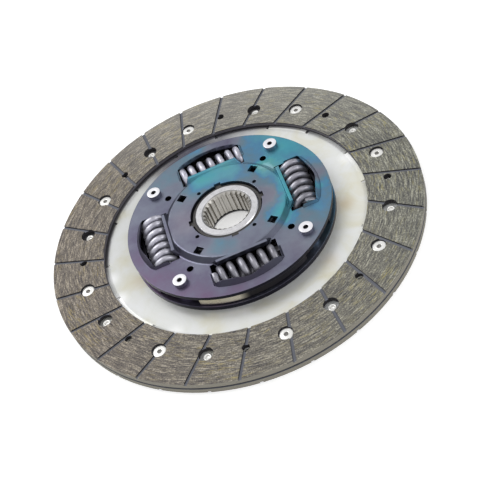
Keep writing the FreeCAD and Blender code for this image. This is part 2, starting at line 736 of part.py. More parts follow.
WASHER_BOTTOM = size("FlangeThickness") / 2 + size("RunningClearance")
WASHER_TOP = WASHER_BOTTOM + size("WasherThickness")
CONTROL_TOP = WASHER_TOP + size("ControlThickness")
CENTRE_UNDER = PLATE_INSIDE + size("PlateauRise")


def control_plate():
    """A sheet ring whose four bent tabs sit in the cover plate's square holes."""
    body = new_body("control_plate")
    section = new_sketch(body, "XZ_Plane")
    rectangle(section, size("WasherInnerRadius"), size("WasherOuterRadius"), WASHER_TOP, CONTROL_TOP)
    turned(body, section)
    tab = new_sketch(body, "XY_Plane", offset=CONTROL_TOP, turn=PIN_ANGLE)
    near = size("SquareCircleRadius") - size("SquareHoleSide") / 2 + size("BushTabClearance")
    half = size("ControlTabWidth") / 2
    rectangle(tab, near, near + size("ControlThickness"), -half, half)
    tip = CENTRE_UNDER + size("ControlTabReach")
    tab_pad = pad(body, tab, tip - CONTROL_TOP)
    round_pattern(body, [tab_pad], size("SpringCount"))
    return body


def cone_spring():
    """A dished washer between the control plate and the raised centre."""
    inner = size("ConeInnerRadius")
    outer = size("ConeOuterRadius")
    thick = size("ConeThickness")
    return turned_washer("cone_spring", [
        (outer, CONTROL_TOP), (outer, CONTROL_TOP + thick),
        (inner, CENTRE_UNDER), (inner, CENTRE_UNDER - thick),
    ])


def stop_pins():
    """Four shouldered pins: a barrel between the plates, tenons through them and riveted ends."""
    body = new_body("stop_pins")
    axis = size("PinCircleRadius")
    barrel = axis + size("PinBarrelDiameter") / 2
    tenon = axis + size("PinTenonDiameter") / 2
    head = axis + size("PinHeadDiameter") / 2
    dimple = axis + size("PinDimpleDiameter") / 2
    tail = axis + size("PinTailDiameter") / 2
    cover_out = PLATE_INSIDE + size("CoverThickness")
    head_top = cover_out + size("PinHeadHeight")
    chamfer = size("PinHeadChamfer")
    under = -(PLATE_INSIDE + size("DiscPlateThickness") + size("CushionThickness"))
    tail_end = under - size("PinTailHeight")
    profile = new_sketch(body, "XZ_Plane")
    polygon(profile, [
        (axis, tail_end), (tail - size("PinTailHeight") / 2, tail_end), (tail, under), (tenon, under),
        (tenon, -PLATE_INSIDE), (barrel, -PLATE_INSIDE), (barrel, PLATE_INSIDE), (tenon, PLATE_INSIDE),
        (tenon, cover_out), (head, cover_out), (head, head_top - chamfer), (head - chamfer, head_top),
        (dimple, head_top), (axis, head_top - size("PinDimpleDepth")),
    ])
    centre = Part.LineSegment(Vector(axis.number, -5, 0), Vector(axis.number, 5, 0))
    line = profile.addGeometry(centre, True)
    profile.addConstraint(Sketcher.Constraint("Vertical", line))
    fix(profile, "DistanceX", (line, 1), axis)
    pin = turned(body, profile, axis="Axis0")
    round_pattern(body, [pin], size("SpringCount"))
    return body


# Damper springs

def spring_height(turns, total):
    """How far along its axis the wire's centre has come after so many turns."""
    ends = size("SpringEndTurns").number
    end_pitch = size("SpringEndPitch").number
    wire = size("SpringWire").number
    length = size("WindowLength").number - 2 * size("SpringEnd").number
    travel = length - wire / 2
    pitch = (travel - 2 * ends * end_pitch) / (total - 2 * ends)
    if turns < ends:
        return turns * end_pitch - travel / 2
    if turns > total - ends:
        return travel / 2 - (total - turns) * end_pitch
    return ends * end_pitch + (turns - ends) * pitch - travel / 2


def spring_solid(roll):
    """A closed and ground helical spring along Y, its wire a many-sided bar laid in short straight runs."""
    total = size("SpringTurns").number
    wire = size("SpringWire").number
    mean = (size("SpringDiameter").number - wire) / 2
    centre = size("SpringCircleRadius").number
    corner = 1 / math.cos(math.pi / RUNS_PER_TURN)
    runs = int(round(total * RUNS_PER_TURN))
    rings = []
    for step in range(runs + 1):
        turns = total * step / runs
        angle = math.radians(90 + roll) - 2 * math.pi * turns
        outward = Vector(math.cos(angle), 0, math.sin(angle))
        middle = Vector(centre, spring_height(turns, total), 0) + outward * mean
        points = []
        for side in range(WIRE_SIDES):
            turn = 2 * math.pi * (side + 0.5) / WIRE_SIDES
            points.append(middle + (outward * math.cos(turn) + Vector(0, math.sin(turn), 0)) * (wire / 2 * corner))
        rings.append(points)
    faces = []
    for lower, upper in zip(rings, rings[1:]):
        for side in range(WIRE_SIDES):
            following = (side + 1) % WIRE_SIDES
            a, b = lower[side], lower[following]
            c, d = upper[following], upper[side]
            faces.append(Part.Face(Part.makePolygon([a, b, c, a])))
            faces.append(Part.Face(Part.makePolygon([a, c, d, a])))
    for end in (rings[0], rings[-1]):
        faces.append(Part.Face(Part.makePolygon(end + end[:1])))
    solid = Part.makeSolid(Part.makeShell(faces))
    length = size("WindowLength").number - 2 * size("SpringEnd").number
    reach = size("SpringDiameter").number
    ground = Part.makeBox(reach, length, reach, Vector(centre - reach / 2, -length / 2, -reach / 2))
    return solid.common(ground)


def damper_spring(number, roll):
    """A spring in its window, rolled about its own axis by an angle."""
    piece = doc.addObject("Part::Feature", "damper_spring_%d" % number)
    piece.Label = "damper_spring_%d" % number
    piece.Shape = spring_solid(roll)
    turn = WINDOW_ANGLE.number * (number - 1)
    piece.Placement = Placement(Vector(0, 0, FLANGE_MIDDLE.number), Rotation(Vector(0, 0, 1), turn))
    return piece


# The disc, piece by piece

pieces = []


def add(piece):
    pieces.append(piece)
    return piece


place(add(facing("upper_facing")), MIDDLE, turn=size("FacingTurn"))
place(add(facing("lower_facing")), MIDDLE, turned_over_about=turn_over_angle())
place(add(facing_rivets("upper_facing_rivets")), MIDDLE, turn=size("FacingTurn"))
place(add(facing_rivets("lower_facing_rivets")), MIDDLE, turned_over_about=turn_over_angle())
place(add(cushion_plate()), MIDDLE)
place(add(retainer_plate("cover_plate", size("CoverThickness"), True)), FLANGE_MIDDLE)
place(add(retainer_plate("disc_plate", size("DiscPlateThickness"), False)), FLANGE_MIDDLE, turned_over_about=ZERO)
place(add(hub()), FLANGE_MIDDLE)
place(add(stop_pins()), FLANGE_MIDDLE, turn=PIN_ANGLE)
place(add(bush("upper_bush", size("CoverThickness"))), FLANGE_MIDDLE)
place(add(bush("lower_bush", size("DiscPlateThickness"))), FLANGE_MIDDLE, turned_over_about=ZERO)
place(add(flat_washer("upper_friction_washer", WASHER_BOTTOM, size("WasherThickness"))), FLANGE_MIDDLE)
place(add(control_plate()), FLANGE_MIDDLE)
place(add(cone_spring()), FLANGE_MIDDLE)
lower_washer = flat_washer("lower_friction_washer", WASHER_BOTTOM, size("WasherThickness"))
place(add(lower_washer), FLANGE_MIDDLE, turned_over_about=ZERO)
thrust_ring = flat_washer("lower_thrust_ring", WASHER_TOP, CENTRE_UNDER - WASHER_TOP)
place(add(thrust_ring), FLANGE_MIDDLE, turned_over_about=ZERO)
for spring_number, roll in enumerate(SPRING_ROLLS, start=1):
    add(damper_spring(spring_number, roll))

doc.recompute()

# Every object has to be sound before anything is written
for item in doc.Objects:
    if "Invalid" in item.State or "Error" in item.State:
        raise RuntimeError("%s failed: %s" % (item.Label, item.State))
for piece in pieces:
    if piece.Shape.isNull() or not piece.Shape.isValid():
        raise RuntimeError("%s has no sound shape" % piece.Label)

os.makedirs("parts", exist_ok=True)
for piece in pieces:
    piece.Shape.exportStep("parts/%s.step" % piece.Label)
    box = piece.Shape.BoundBox
    print("%-24s solids %2d  volume %10.1f  z %6.2f to %6.2f" % (
        piece.Label, len(piece.Shape.Solids), piece.Shape.Volume, box.ZMin, box.ZMax))
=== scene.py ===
import math

import bmesh
import bpy
from bpy.props import FloatProperty, FloatVectorProperty, IntProperty, PointerProperty
from mathutils import Matrix, Vector


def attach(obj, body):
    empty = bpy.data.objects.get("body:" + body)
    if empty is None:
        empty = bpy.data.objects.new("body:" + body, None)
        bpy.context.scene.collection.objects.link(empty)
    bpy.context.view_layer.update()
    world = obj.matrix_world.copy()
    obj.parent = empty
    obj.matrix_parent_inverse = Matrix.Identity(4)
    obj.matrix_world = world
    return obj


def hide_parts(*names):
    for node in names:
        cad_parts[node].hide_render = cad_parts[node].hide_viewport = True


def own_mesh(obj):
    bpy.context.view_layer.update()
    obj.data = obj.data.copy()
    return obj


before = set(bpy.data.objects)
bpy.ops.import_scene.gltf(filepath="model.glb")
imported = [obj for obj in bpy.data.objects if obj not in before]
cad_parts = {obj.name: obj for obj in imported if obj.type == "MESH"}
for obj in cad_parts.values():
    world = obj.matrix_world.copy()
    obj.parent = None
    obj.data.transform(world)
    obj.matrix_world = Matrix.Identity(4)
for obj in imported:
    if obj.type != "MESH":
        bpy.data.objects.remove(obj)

bl_info = {
    "name": "Clutch disc",
    "version": (1, 0, 0),
    "blender": (4, 5, 0),
    "location": "3D View > Sidebar > Clutch disc",
    "description": "A clutch friction disc with its sprung damper, and a studio to see it in",
    "category": "Object",
}

MM = 0.001
DISC_RADIUS = 112 * MM
FACING_INNER = 80 * MM
PIN_CIRCLE = 53.2 * MM
# Heights above the lower friction face
DISC_MIDDLE = 3.7 * MM
FLANGE_MIDDLE = 9.95 * MM
FIRST_RIVET = math.radians(3.9)
RIVET_STEP = math.radians(17.5)
FIRST_PIN = math.radians(45)
SHARP_ANGLE = math.radians(35)
MERGE_DISTANCE = 2e-6
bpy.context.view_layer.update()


# Helpers

def linear(colour):
    """An sRGB hex colour as the linear RGBA that shaders use."""
    channels = [int(colour[start:start + 2], 16) / 255 for start in (1, 3, 5)]
    return tuple(c / 12.92 if c <= 0.04045 else ((c + 0.055) / 1.055) ** 2.4 for c in channels) + (1.0,)


def number_property(name, description, default, least=0.0, **form):
    return FloatProperty(name=name, description=description, default=default, min=least, **form)


def length_property(name, description, default):
    return number_property(name, description, default, subtype="DISTANCE", unit="LENGTH")


def colour_property(name, description, default):
    return FloatVectorProperty(
        name=name, description=description, default=linear(default), size=4, min=0.0, max=1.0,
        subtype="COLOR")


def fill_inputs(node, inputs):
    """Gives each input a value, or a link where the value is the output of another node."""
    for name, value in inputs.items():
        if isinstance(value, bpy.types.NodeSocket):
            node.id_data.links.new(value, node.inputs[name])
        else:
            node.inputs[name].default_value = value


def add_node(tree, kind, inputs=None, stops=(), out=0, **settings):
    """Adds a shader node with its settings, inputs and the stops of its ramp, and returns one output."""
    made = tree.nodes.new(kind)
    for name, value in settings.items():
        setattr(made, name, value)
    fill_inputs(made, inputs or {})
    if stops:
        ramp = made.color_ramp
        while len(ramp.elements) < len(stops):
            ramp.elements.new(0.5)
        for element, (position, colour) in zip(ramp.elements, stops):
            element.position = position
            element.color = linear(colour)
    return made.outputs[out] if made.outputs else None


def new_material(name):
    """A material with a Principled shader, with its tree and the shader."""
    material = bpy.data.materials.new(name)
    material.use_nodes = True
    tree = material.node_tree
    tree.nodes.clear()
    surface = add_node(tree, "ShaderNodeBsdfPrincipled")
    add_node(tree, "ShaderNodeOutputMaterial", {"Surface": surface})
    return material, tree, surface.node


def dress(material, *nodes):
    """Gives the objects of CAD nodes a material."""
    for node in nodes:
        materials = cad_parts[node].data.materials
        materials.clear()
        materials.append(material)


def finished(name, bm, materials, body, nodes):
    """Turns a bmesh into a piece that rides on a body and stands for CAD nodes."""
    bmesh.ops.remove_doubles(bm, verts=bm.verts, dist=MERGE_DISTANCE)
    bmesh.ops.recalc_face_normals(bm, faces=bm.faces)
    mesh = bpy.data.meshes.new(name)
    bm.to_mesh(mesh)
    bm.free()
    for material in materials:
        mesh.materials.append(material)
    mesh.polygons.foreach_set("use_smooth", [True] * len(mesh.polygons))
    mesh.set_sharp_from_angle(angle=SHARP_ANGLE)
    piece = bpy.data.objects.new(name, mesh)
    bpy.context.scene.collection.objects.link(piece)
    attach(piece, body)
    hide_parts(*nodes)
    return piece


def turn_profile(bm, profile, away, steps):
    """Spins an open profile of (radius, height) points about an upright axis, away along X."""
    verts = [bm.verts.new((away + radius, 0, height)) for radius, height in profile]
    edges = [bm.edges.new(pair) for pair in zip(verts, verts[1:])]
    bmesh.ops.spin(
        bm, geom=verts + edges, cent=(away, 0, 0), axis=(0, 0, 1), dvec=(0, 0, 0),
        angle=math.tau, steps=steps, use_merge=True, use_normal_flip=False, use_duplicate=False)


def round_edges(bm, offset, segments, angle):
    """Bevels the edges that fold by more than an angle."""
    bmesh.ops.remove_doubles(bm, verts=bm.verts, dist=MERGE_DISTANCE)
    bmesh.ops.recalc_face_normals(bm, faces=bm.faces)
    sharp = [
        edge for edge in bm.edges if edge.is_manifold and edge.calc_face_angle() > math.radians(angle)]
    bmesh.ops.bevel(
        bm, geom=sharp, offset=offset, offset_type="OFFSET", segments=segments, profile=0.5,
        affect="EDGES", clamp_overlap=True, material=-1)


def set_in_ring(bm, first, count):
    """Turns everything to the first place and copies it round the disc's axis."""
    bmesh.ops.rotate(bm, cent=(0, 0, 0), matrix=Matrix.Rotation(first, 3, "Z"), verts=bm.verts)
    bmesh.ops.spin(
        bm, geom=bm.verts[:] + bm.edges[:] + bm.faces[:], cent=(0, 0, 0), axis=(0, 0, 1), dvec=(0, 0, 0),
        angle=math.tau * (count - 1) / count, steps=count - 1, use_duplicate=True)


# Parts of materials

def disc_coordinates(tree):
    """The place on the disc, its level part, and the distance from the disc's axis."""
    place = add_node(tree, "ShaderNodeTexCoord", out="Object")
    level = add_node(tree, "ShaderNodeVectorMath", {0: place, 1: (1, 1, 0)}, operation="MULTIPLY")
    reach = add_node(tree, "ShaderNodeVectorMath", {0: level}, out="Value", operation="LENGTH")
    return place, level, reach


def flatness(tree):
    """How level the surface is, from 0 on a wall to 1 on a flat."""
    up = add_node(
        tree, "ShaderNodeSeparateXYZ", {0: add_node(tree, "ShaderNodeTexCoord", out="Normal")}, out="Z")
    return add_node(tree, "ShaderNodeMath", {0: up}, operation="ABSOLUTE")


def add_zones(tree, level, value, zones):
    """Adds round zones to a pattern: azimuth in degrees, distance from the axis and reach in mm, change."""
    for azimuth, radius, reach, change in zones:
        angle = math.radians(azimuth)
        centre = (radius * MM * math.cos(angle), radius * MM * math.sin(angle), 0)
        away = add_node(
            tree, "ShaderNodeVectorMath", {0: level, 1: centre}, out="Value", operation="DISTANCE")
        added = add_node(
            tree, "ShaderNodeMapRange",
            {"Value": away, "From Min": reach * MM, "From Max": 0.0, "To Max": change},
            interpolation_type="SMOOTHSTEP")
        value = add_node(tree, "ShaderNodeMath", {0: value, 1: added}, operation="ADD")
    return value


# Materials

def friction_facing(look):
    """Moulded friction facing: resin and rubber round wound glass and brass yarn, ground flat and matt."""
    material, tree, shader = new_material("moulded_friction_facing")
    place, level, reach = disc_coordinates(tree)
    parts = add_node(tree, "ShaderNodeSeparateXYZ", {0: place}).node.outputs
    heading = add_node(tree, "ShaderNodeVectorMath", {0: level}, operation="NORMALIZE")
    turn = add_node(tree, "ShaderNodeMath", {0: parts["Y"], 1: parts["X"]}, operation="ARCTAN2")

    # The yarn is wound in waves that cross: 19 to the turn, 0.7 mm to each side, and 43, 0.2 mm
    swing = 0.0
    for waves, size in ((19, 0.7 * MM), (43, 0.2 * MM)):
        phase = add_node(tree, "ShaderNodeMath", {0: turn, 1: waves}, operation="MULTIPLY")
        wave = add_node(tree, "ShaderNodeMath", {0: phase}, operation="SINE")
        swing = add_node(tree, "ShaderNodeMath", {0: wave, 1: size, 2: swing}, operation="MULTIPLY_ADD")

    # Grain runs round the ring. Each is (wave's side, length and width in mm at the ring's middle, detail).
    # The real yarn is about 0.5 mm thick, and its grain is drawn coarser so that it shows
    ring_middle = (FACING_INNER + DISC_RADIUS) / 2
    grains = []
    for side, length, width, detail in (
            (1, 5.0, 0.60, 2.0), (-1, 9.0, 0.75, 1.0), (1, 6.5, 0.65, 1.0), (0, 30.0, 16.0, 2.0)):
        wound = add_node(tree, "ShaderNodeMath", {0: swing, 1: side, 2: reach}, operation="MULTIPLY_ADD")
        across = add_node(tree, "ShaderNodeMath", {0: wound, 1: 1 / (width * MM)}, operation="MULTIPLY")
        upright = add_node(tree, "ShaderNodeCombineXYZ", {"Z": across})
        round_scale = ring_middle / (length * MM)
        spot = add_node(
            tree, "ShaderNodeVectorMath", {0: heading, 1: (round_scale, round_scale, 7.0 * side), 2: upright},
            operation="MULTIPLY_ADD")
        grains.append(add_node(
            tree, "ShaderNodeTexNoise", {"Vector": spot, "Scale": 1.0, "Detail": detail, "Roughness": 0.6}))
    yarn, crossing_yarn, fleck, patch = grains
    # Fibre ends between the yarns are a stipple about 0.8 mm apart
    stipple = add_node(tree, "ShaderNodeTexNoise", {"Vector": place, "Scale": 1 / (0.8 * MM), "Detail": 2.0})
    for other in (crossing_yarn, stipple):
        yarn = add_node(tree, "ShaderNodeMath", {0: yarn, 1: other}, operation="ADD")
    yarn = add_node(tree, "ShaderNodeMath", {0: yarn, 1: 1 / 3}, operation="MULTIPLY")
    colour = add_node(tree, "ShaderNodeValToRGB", {0: yarn}, (
        (0.36, "#48464c"), (0.455, "#6f6c69"), (0.53, "#8a867e"), (0.62, "#bfbaae")))

    # Grinding wakes the brass wire in the yarn, in patches
    wire = add_node(tree, "ShaderNodeMapRange", {"Value": fleck, "From Min": 0.57, "From Max": 0.66})
    woken = add_node(tree, "ShaderNodeMapRange", {
        "Value": patch, "From Min": 0.44, "From Max": 0.62, "To Min": 0.10, "To Max": 0.70})
    brass = add_node(tree, "ShaderNodeMath", {0: wire, 1: woken}, operation="MULTIPLY")
    # Pores between the fibres, about 0.9 mm apart
    pores = add_node(tree, "ShaderNodeTexNoise", {"Vector": place, "Scale": 1 / (0.9 * MM), "Detail": 3.0})
    pore_shade = add_node(tree, "ShaderNodeMapRange", {
        "Value": pores, "From Min": 0.30, "From Max": 0.50, "To Min": 0.72})
    # Browner on one side, greener on the other, as resin cures
    cured = add_node(
        tree, "ShaderNodeMapRange", {"Value": parts["X"], "From Min": -90 * MM, "From Max": 90 * MM})
    cast = add_node(
        tree, "ShaderNodeMix", {0: cured, 6: look.brown_cast, 7: look.green_cast}, out=2, data_type="RGBA")
    # Painted light: paler towards one side, a painted sheen where the light falls brighter
    lit_side = add_node(
        tree, "ShaderNodeVectorMath", {0: level, 1: (0.34, 0.94, 0)}, out="Value", operation="DOT_PRODUCT")
    paler = add_node(tree, "ShaderNodeMapRange", {
        "Value": lit_side, "From Min": 45 * MM, "From Max": 108 * MM, "To Max": 0.22})
    for blend, share, layer in (
            ("MIX", brass, look.fleck_colour), ("MULTIPLY", 1.0, pore_shade), ("MULTIPLY", 1.0, cast),
            ("MIX", paler, look.painted_sheen_colour)):
        colour = add_node(
            tree, "ShaderNodeMix", {0: share, 6: colour, 7: layer}, out=2, data_type="RGBA", blend_type=blend)

    # Groove floors lie below the ground faces and keep the bluish skin of the mould
    height = add_node(tree, "ShaderNodeMath", {0: parts["Z"], 1: DISC_MIDDLE}, operation="SUBTRACT")
    height = add_node(tree, "ShaderNodeMath", {0: height}, operation="ABSOLUTE")
    ground = add_node(tree, "ShaderNodeMapRange", {
        "Value": height, "From Min": DISC_MIDDLE - 0.35 * MM, "From Max": DISC_MIDDLE - 0.04 * MM})
    # Walls get painted shade, darker still, but for the turned rim
    flat = add_node(tree, "ShaderNodeMapRange", {"Value": flatness(tree), "From Min": 0.3, "From Max": 0.7})
    rim = add_node(tree, "ShaderNodeMapRange", {
        "Value": reach, "From Min": DISC_RADIUS - 1.4 * MM, "From Max": DISC_RADIUS - 0.6 * MM})
    # The bore's edge is cut through the yarn, and is greyer in its middle, with painted shade at its outer
    # corner and by the cushion plate
    bore = add_node(tree, "ShaderNodeMapRange", {
        "Value": reach, "From Min": FACING_INNER + 1.0 * MM, "From Max": FACING_INNER + 0.5 * MM})
    for dark, grey in ((3.5 * MM, 2.9 * MM), (1.0 * MM, 1.7 * MM)):
        between = add_node(tree, "ShaderNodeMapRange", {"Value": height, "From Min": dark, "From Max": grey})
        bore = add_node(tree, "ShaderNodeMath", {0: bore, 1: between}, operation="MULTIPLY")
    wall = look.shaded_wall_colour
    for share, layer in ((rim, look.rim_colour), (bore, look.cut_colour)):
        wall = add_node(tree, "ShaderNodeMix", {0: share, 6: wall, 7: layer}, out=2, data_type="RGBA")
    for share, under in ((ground, look.groove_colour), (flat, wall)):
        colour = add_node(tree, "ShaderNodeMix", {0: share, 6: under, 7: colour}, out=2, data_type="RGBA")

    relief = add_node(tree, "ShaderNodeMath", {0: pores, 1: 0.6, 2: yarn}, operation="MULTIPLY_ADD")
    bump = add_node(tree, "ShaderNodeBump", {"Strength": 0.35, "Distance": 0.08 * MM, "Height": relief})
    roughness = add_node(tree, "ShaderNodeMapRange", {"Value": yarn, "To Min": 0.66, "To Max": 0.88})
    fill_inputs(shader, {
        "Base Color": colour, "Roughness": roughness, "Normal": bump, "Specular IOR Level": 0.35})
    return material


def blued_steel(look, name, film_zones, bloom_zones):
    """Blued pressed steel: an oxide film, plum to blue to teal as it thickens, under a pale bloom."""
    material, tree, shader = new_material(name)
    place, level, _ = disc_coordinates(tree)
    # The film thickens towards one side of the plate
    side = add_node(
        tree, "ShaderNodeVectorMath", {0: level, 1: (0.77, 0.64, 0)}, out="Value", operation="DOT_PRODUCT")
    film = add_node(tree, "ShaderNodeMapRange", {
        "Value": side, "From Min": -58 * MM, "From Max": 58 * MM, "To Min": 0.12, "To Max": 0.60})
    # The zones' outlines wander by a few millimetres
    wander = add_node(tree, "ShaderNodeTexNoise", {
        "Vector": place, "Scale": 1 / (11 * MM), "Detail": 4.0, "Roughness": 0.6}, out="Color")
    wander = add_node(tree, "ShaderNodeVectorMath", {0: wander, 1: (0.5, 0.5, 0.5)}, operation="SUBTRACT")
    wandering = add_node(
        tree, "ShaderNodeVectorMath", {0: wander, 1: (16 * MM, 16 * MM, 0), 2: level},
        operation="MULTIPLY_ADD")
    film = add_zones(tree, wandering, film, film_zones)
    cloud = add_node(tree, "ShaderNodeTexNoise", {
        "Vector": place, "Scale": 1 / (17 * MM), "Detail": 4.0, "Roughness": 0.62})
    cloud = add_node(tree, "ShaderNodeMapRange", {
        "Value": cloud, "From Min": 0.3, "From Max": 0.7, "To Min": -0.09, "To Max": 0.09})
    film = add_node(tree, "ShaderNodeMath", {0: film, 1: cloud}, operation="ADD", use_clamp=True)
    colour = add_node(tree, "ShaderNodeValToRGB", {0: film}, (
        (0.00, "#6b5570"), (0.16, "#615d74"), (0.36, "#747b8b"), (0.46, "#5f7f90"), (0.54, "#4a84a8"),
        (0.62, "#4893a9"), (0.72, "#439fb0"), (0.84, "#3ca5a6"), (1.00, "#7ad4dc")))
    bloom = add_node(tree, "ShaderNodeMapRange", {
        "Value": cloud, "From Min": -0.09, "From Max": 0.09, "To Min": 0.04, "To Max": 0.16})
    bloom = add_zones(tree, wandering, bloom, bloom_zones)
    bloom = add_node(tree, "ShaderNodeMath", {0: bloom, 1: 0.0}, operation="MAXIMUM")
    colour = add_node(
        tree, "ShaderNodeMix", {0: bloom, 6: colour, 7: look.bloom_colour}, out=2, data_type="RGBA")

    # Sheared edges and steep flanks took less heat and stay nearly black. The lips and the plateau stand
    # above the plate's flat, and their flanks keep some of the film, and all of it where it is thick
    flat = add_node(tree, "ShaderNodeMapRange", {"Value": flatness(tree), "From Min": 0.66, "From Max": 0.94})
    hot_side = add_node(
        tree, "ShaderNodeVectorMath", {0: level, 1: (0.64, 0.77, 0)}, out="Value", operation="DOT_PRODUCT")
    kept = add_node(tree, "ShaderNodeMapRange", {
        "Value": hot_side, "From Min": 2 * MM, "From Max": 28 * MM, "To Min": 0.35})
    raised = add_node(tree, "ShaderNodeMapRange", {
        "Value": add_node(tree, "ShaderNodeSeparateXYZ", {0: place}, out="Z"),
        "From Min": 15.4 * MM, "From Max": 15.55 * MM, "To Max": kept})
    flat = add_node(tree, "ShaderNodeMath", {0: flat, 1: raised}, operation="MAXIMUM")
    colour = add_node(
        tree, "ShaderNodeMix", {0: flat, 6: look.edge_colour, 7: colour}, out=2, data_type="RGBA")

    # Scuffs from handling, about 2 mm long, and the peel of the rolled sheet, 0.4 mm
    scuff = add_node(tree, "ShaderNodeTexNoise", {
        "Vector": place, "Scale": 1 / (2.2 * MM), "Detail": 5.0, "Roughness": 0.7})
    roughness = add_node(tree, "ShaderNodeMapRange", {
        "Value": scuff, "From Min": 0.25, "From Max": 0.75, "To Min": 0.27, "To Max": 0.45})
    peel = add_node(tree, "ShaderNodeTexNoise", {"Vector": place, "Scale": 1 / (0.4 * MM), "Detail": 2.0})
    pressed = add_node(tree, "ShaderNodeBevel", {"Radius": 0.5 * MM}, samples=6)
    bump = add_node(tree, "ShaderNodeBump", {
        "Strength": 0.25, "Distance": 0.02 * MM, "Height": peel, "Normal": pressed})
    fill_inputs(shader, {"Base Color": colour, "Roughness": roughness, "Normal": bump, "Metallic": 0.9})
    return material


def satin_spring_steel(look):
    """Rolled and tempered spring steel: pale, satin, with straw stains where oil has baked."""
    material, tree, shader = new_material("satin_spring_steel")
    place, level, reach = disc_coordinates(tree)
    stain = add_node(tree, "ShaderNodeTexNoise", {
        "Vector": place, "Scale": 1 / (26 * MM), "Detail": 4.0, "Roughness": 0.6, "Distortion": 0.6})
    colour = add_node(tree, "ShaderNodeValToRGB", {0: stain}, (
        (0.30, "#dfe0e1"), (0.50, "#d9dad6"), (0.66, "#d3d1c2"), (0.86, "#c4be9c")))
    # Baked patches by the damper, and painted highlights by the facing's bore, where the plate bends into its
    # tabs
    layers = []
    for zones, patch_colour in (
            (((-17, 66, 9, 0.55), (-168, 64, 9, 0.30), (-52, 69, 9, 0.30)), look.baked_colour),
            (((-165, 79, 8, 0.9), (-178, 79, 8, 0.8), (-130, 79, 8, 0.6), (11, 78, 8, 0.6)),
             look.painted_highlight_colour)):
        patch = add_zones(tree, level, 0.0, zones)
        patch = add_node(tree, "ShaderNodeMath", {0: patch, 1: 1.0}, operation="MINIMUM")
        layers.append((patch, patch_colour))
    # Painted shadow: a dark line where one half of the plate runs under the facing, in the shade of the
    # facing's wall
    line = add_node(
        tree, "ShaderNodeMapRange", {
            "Value": reach, "From Min": FACING_INNER - 2.0 * MM, "From Max": FACING_INNER - 0.8 * MM},
        interpolation_type="SMOOTHSTEP")
    half = add_node(
        tree, "ShaderNodeVectorMath", {0: level, 1: (-0.30, 0.95, 0)}, out="Value", operation="DOT_PRODUCT")
    half = add_node(
        tree, "ShaderNodeMapRange", {"Value": half, "From Min": 5 * MM, "From Max": 45 * MM, "To Max": 0.85},
        interpolation_type="SMOOTHSTEP")
    line = add_node(tree, "ShaderNodeMath", {0: line, 1: half}, operation="MULTIPLY")
    # Painted shade on the strip of plate beside the damper, in streaks 1.5 mm wide
    beside_damper_shade = add_zones(tree, level, 0.0, (
        (122, 75, 12, 0.3), (113, 75, 13, 0.8), (103, 75, 14, 1.0), (93, 75, 14, 1.0),
        (82, 76, 14, 0.75), (71, 77, 13, 0.45), (62, 77, 11, 0.2)))
    across = add_node(tree, "ShaderNodeCombineXYZ", {"X": reach})
    streak = add_node(tree, "ShaderNodeTexNoise", {"Vector": across, "Scale": 1 / (1.5 * MM), "Detail": 2.0})
    streak = add_node(tree, "ShaderNodeMapRange", {
        "Value": streak, "From Min": 0.35, "From Max": 0.65, "To Min": 0.7, "To Max": 1.3})
    beside_damper_shade = add_node(tree, "ShaderNodeMath", {0: beside_damper_shade, 1: streak}, operation="MULTIPLY", use_clamp=True)
    for share, layer in layers + [(line, look.facing_shadow_colour), (beside_damper_shade, look.strip_shade_colour)]:
        colour = add_node(tree, "ShaderNodeMix", {0: share, 6: colour, 7: layer}, out=2, data_type="RGBA")
    # The sheet's tone rises from one side to the other
    tone = add_node(tree, "ShaderNodeMapRange", {
        "Value": add_node(tree, "ShaderNodeSeparateXYZ", {0: place}, out="X"),
        "From Min": -78 * MM, "From Max": 78 * MM, "To Min": 0.82, "To Max": 1.25})
    colour = add_node(
        tree, "ShaderNodeMix", {0: 1.0, 6: colour, 7: tone}, out=2, data_type="RGBA", blend_type="MULTIPLY")
    # The rolling mill's fine lines, drawn 0.5 mm apart so that they show
    stretched = add_node(tree, "ShaderNodeMapping", {0: place, "Scale": (40, 1 / (0.5 * MM), 1)})
    lines = add_node(tree, "ShaderNodeTexNoise", {"Vector": stretched, "Scale": 1.0, "Detail": 3.0})
    roughness = add_node(tree, "ShaderNodeMapRange", {
        "Value": lines, "From Min": 0.3, "From Max": 0.7, "To Min": 0.34, "To Max": 0.42})
    bump = add_node(tree, "ShaderNodeBump", {"Strength": 0.05, "Distance": 0.01 * MM, "Height": lines})
    fill_inputs(shader, {"Base Color": colour, "Roughness": roughness, "Normal": bump, "Metallic": 0.5})
    return material


def turned_steel(name, colour, pitch, roughness, metallic=1.0):
    """Turned steel: bright, with the tool's fine rings about the disc's axis, at a pitch that shows."""
    material, tree, shader = new_material(name)
    place, _, reach = disc_coordinates(tree)
    across = add_node(tree, "ShaderNodeMath", {0: reach, 1: 1 / pitch}, operation="MULTIPLY")
    across = add_node(tree, "ShaderNodeCombineXYZ", {"X": across})
    rings = add_node(tree, "ShaderNodeTexNoise", {"Vector": across, "Scale": 1.0, "Detail": 2.0})
    wear = add_node(tree, "ShaderNodeTexNoise", {
        "Vector": place, "Scale": 1 / (3 * MM), "Detail": 4.0, "Roughness": 0.65})
    tint = add_node(
        tree, "ShaderNodeMapRange", {"Value": wear, "From Min": 0.35, "From Max": 0.65, "To Min": 0.93})
    base = add_node(
        tree, "ShaderNodeMix", {0: 1.0, 6: colour, 7: tint}, out=2, data_type="RGBA", blend_type="MULTIPLY")
    rough = add_node(tree, "ShaderNodeMapRange", {
        "Value": wear, "From Min": 0.3, "From Max": 0.7,
        "To Min": roughness * 0.8, "To Max": roughness * 1.25})
    worn = add_node(tree, "ShaderNodeBevel", {"Radius": 0.15 * MM}, samples=6)
    bump = add_node(tree, "ShaderNodeBump", {
        "Strength": 0.12, "Distance": 0.01 * MM, "Height": rings, "Normal": worn})
    fill_inputs(shader, {"Base Color": base, "Roughness": rough, "Normal": bump, "Metallic": metallic})
    return material


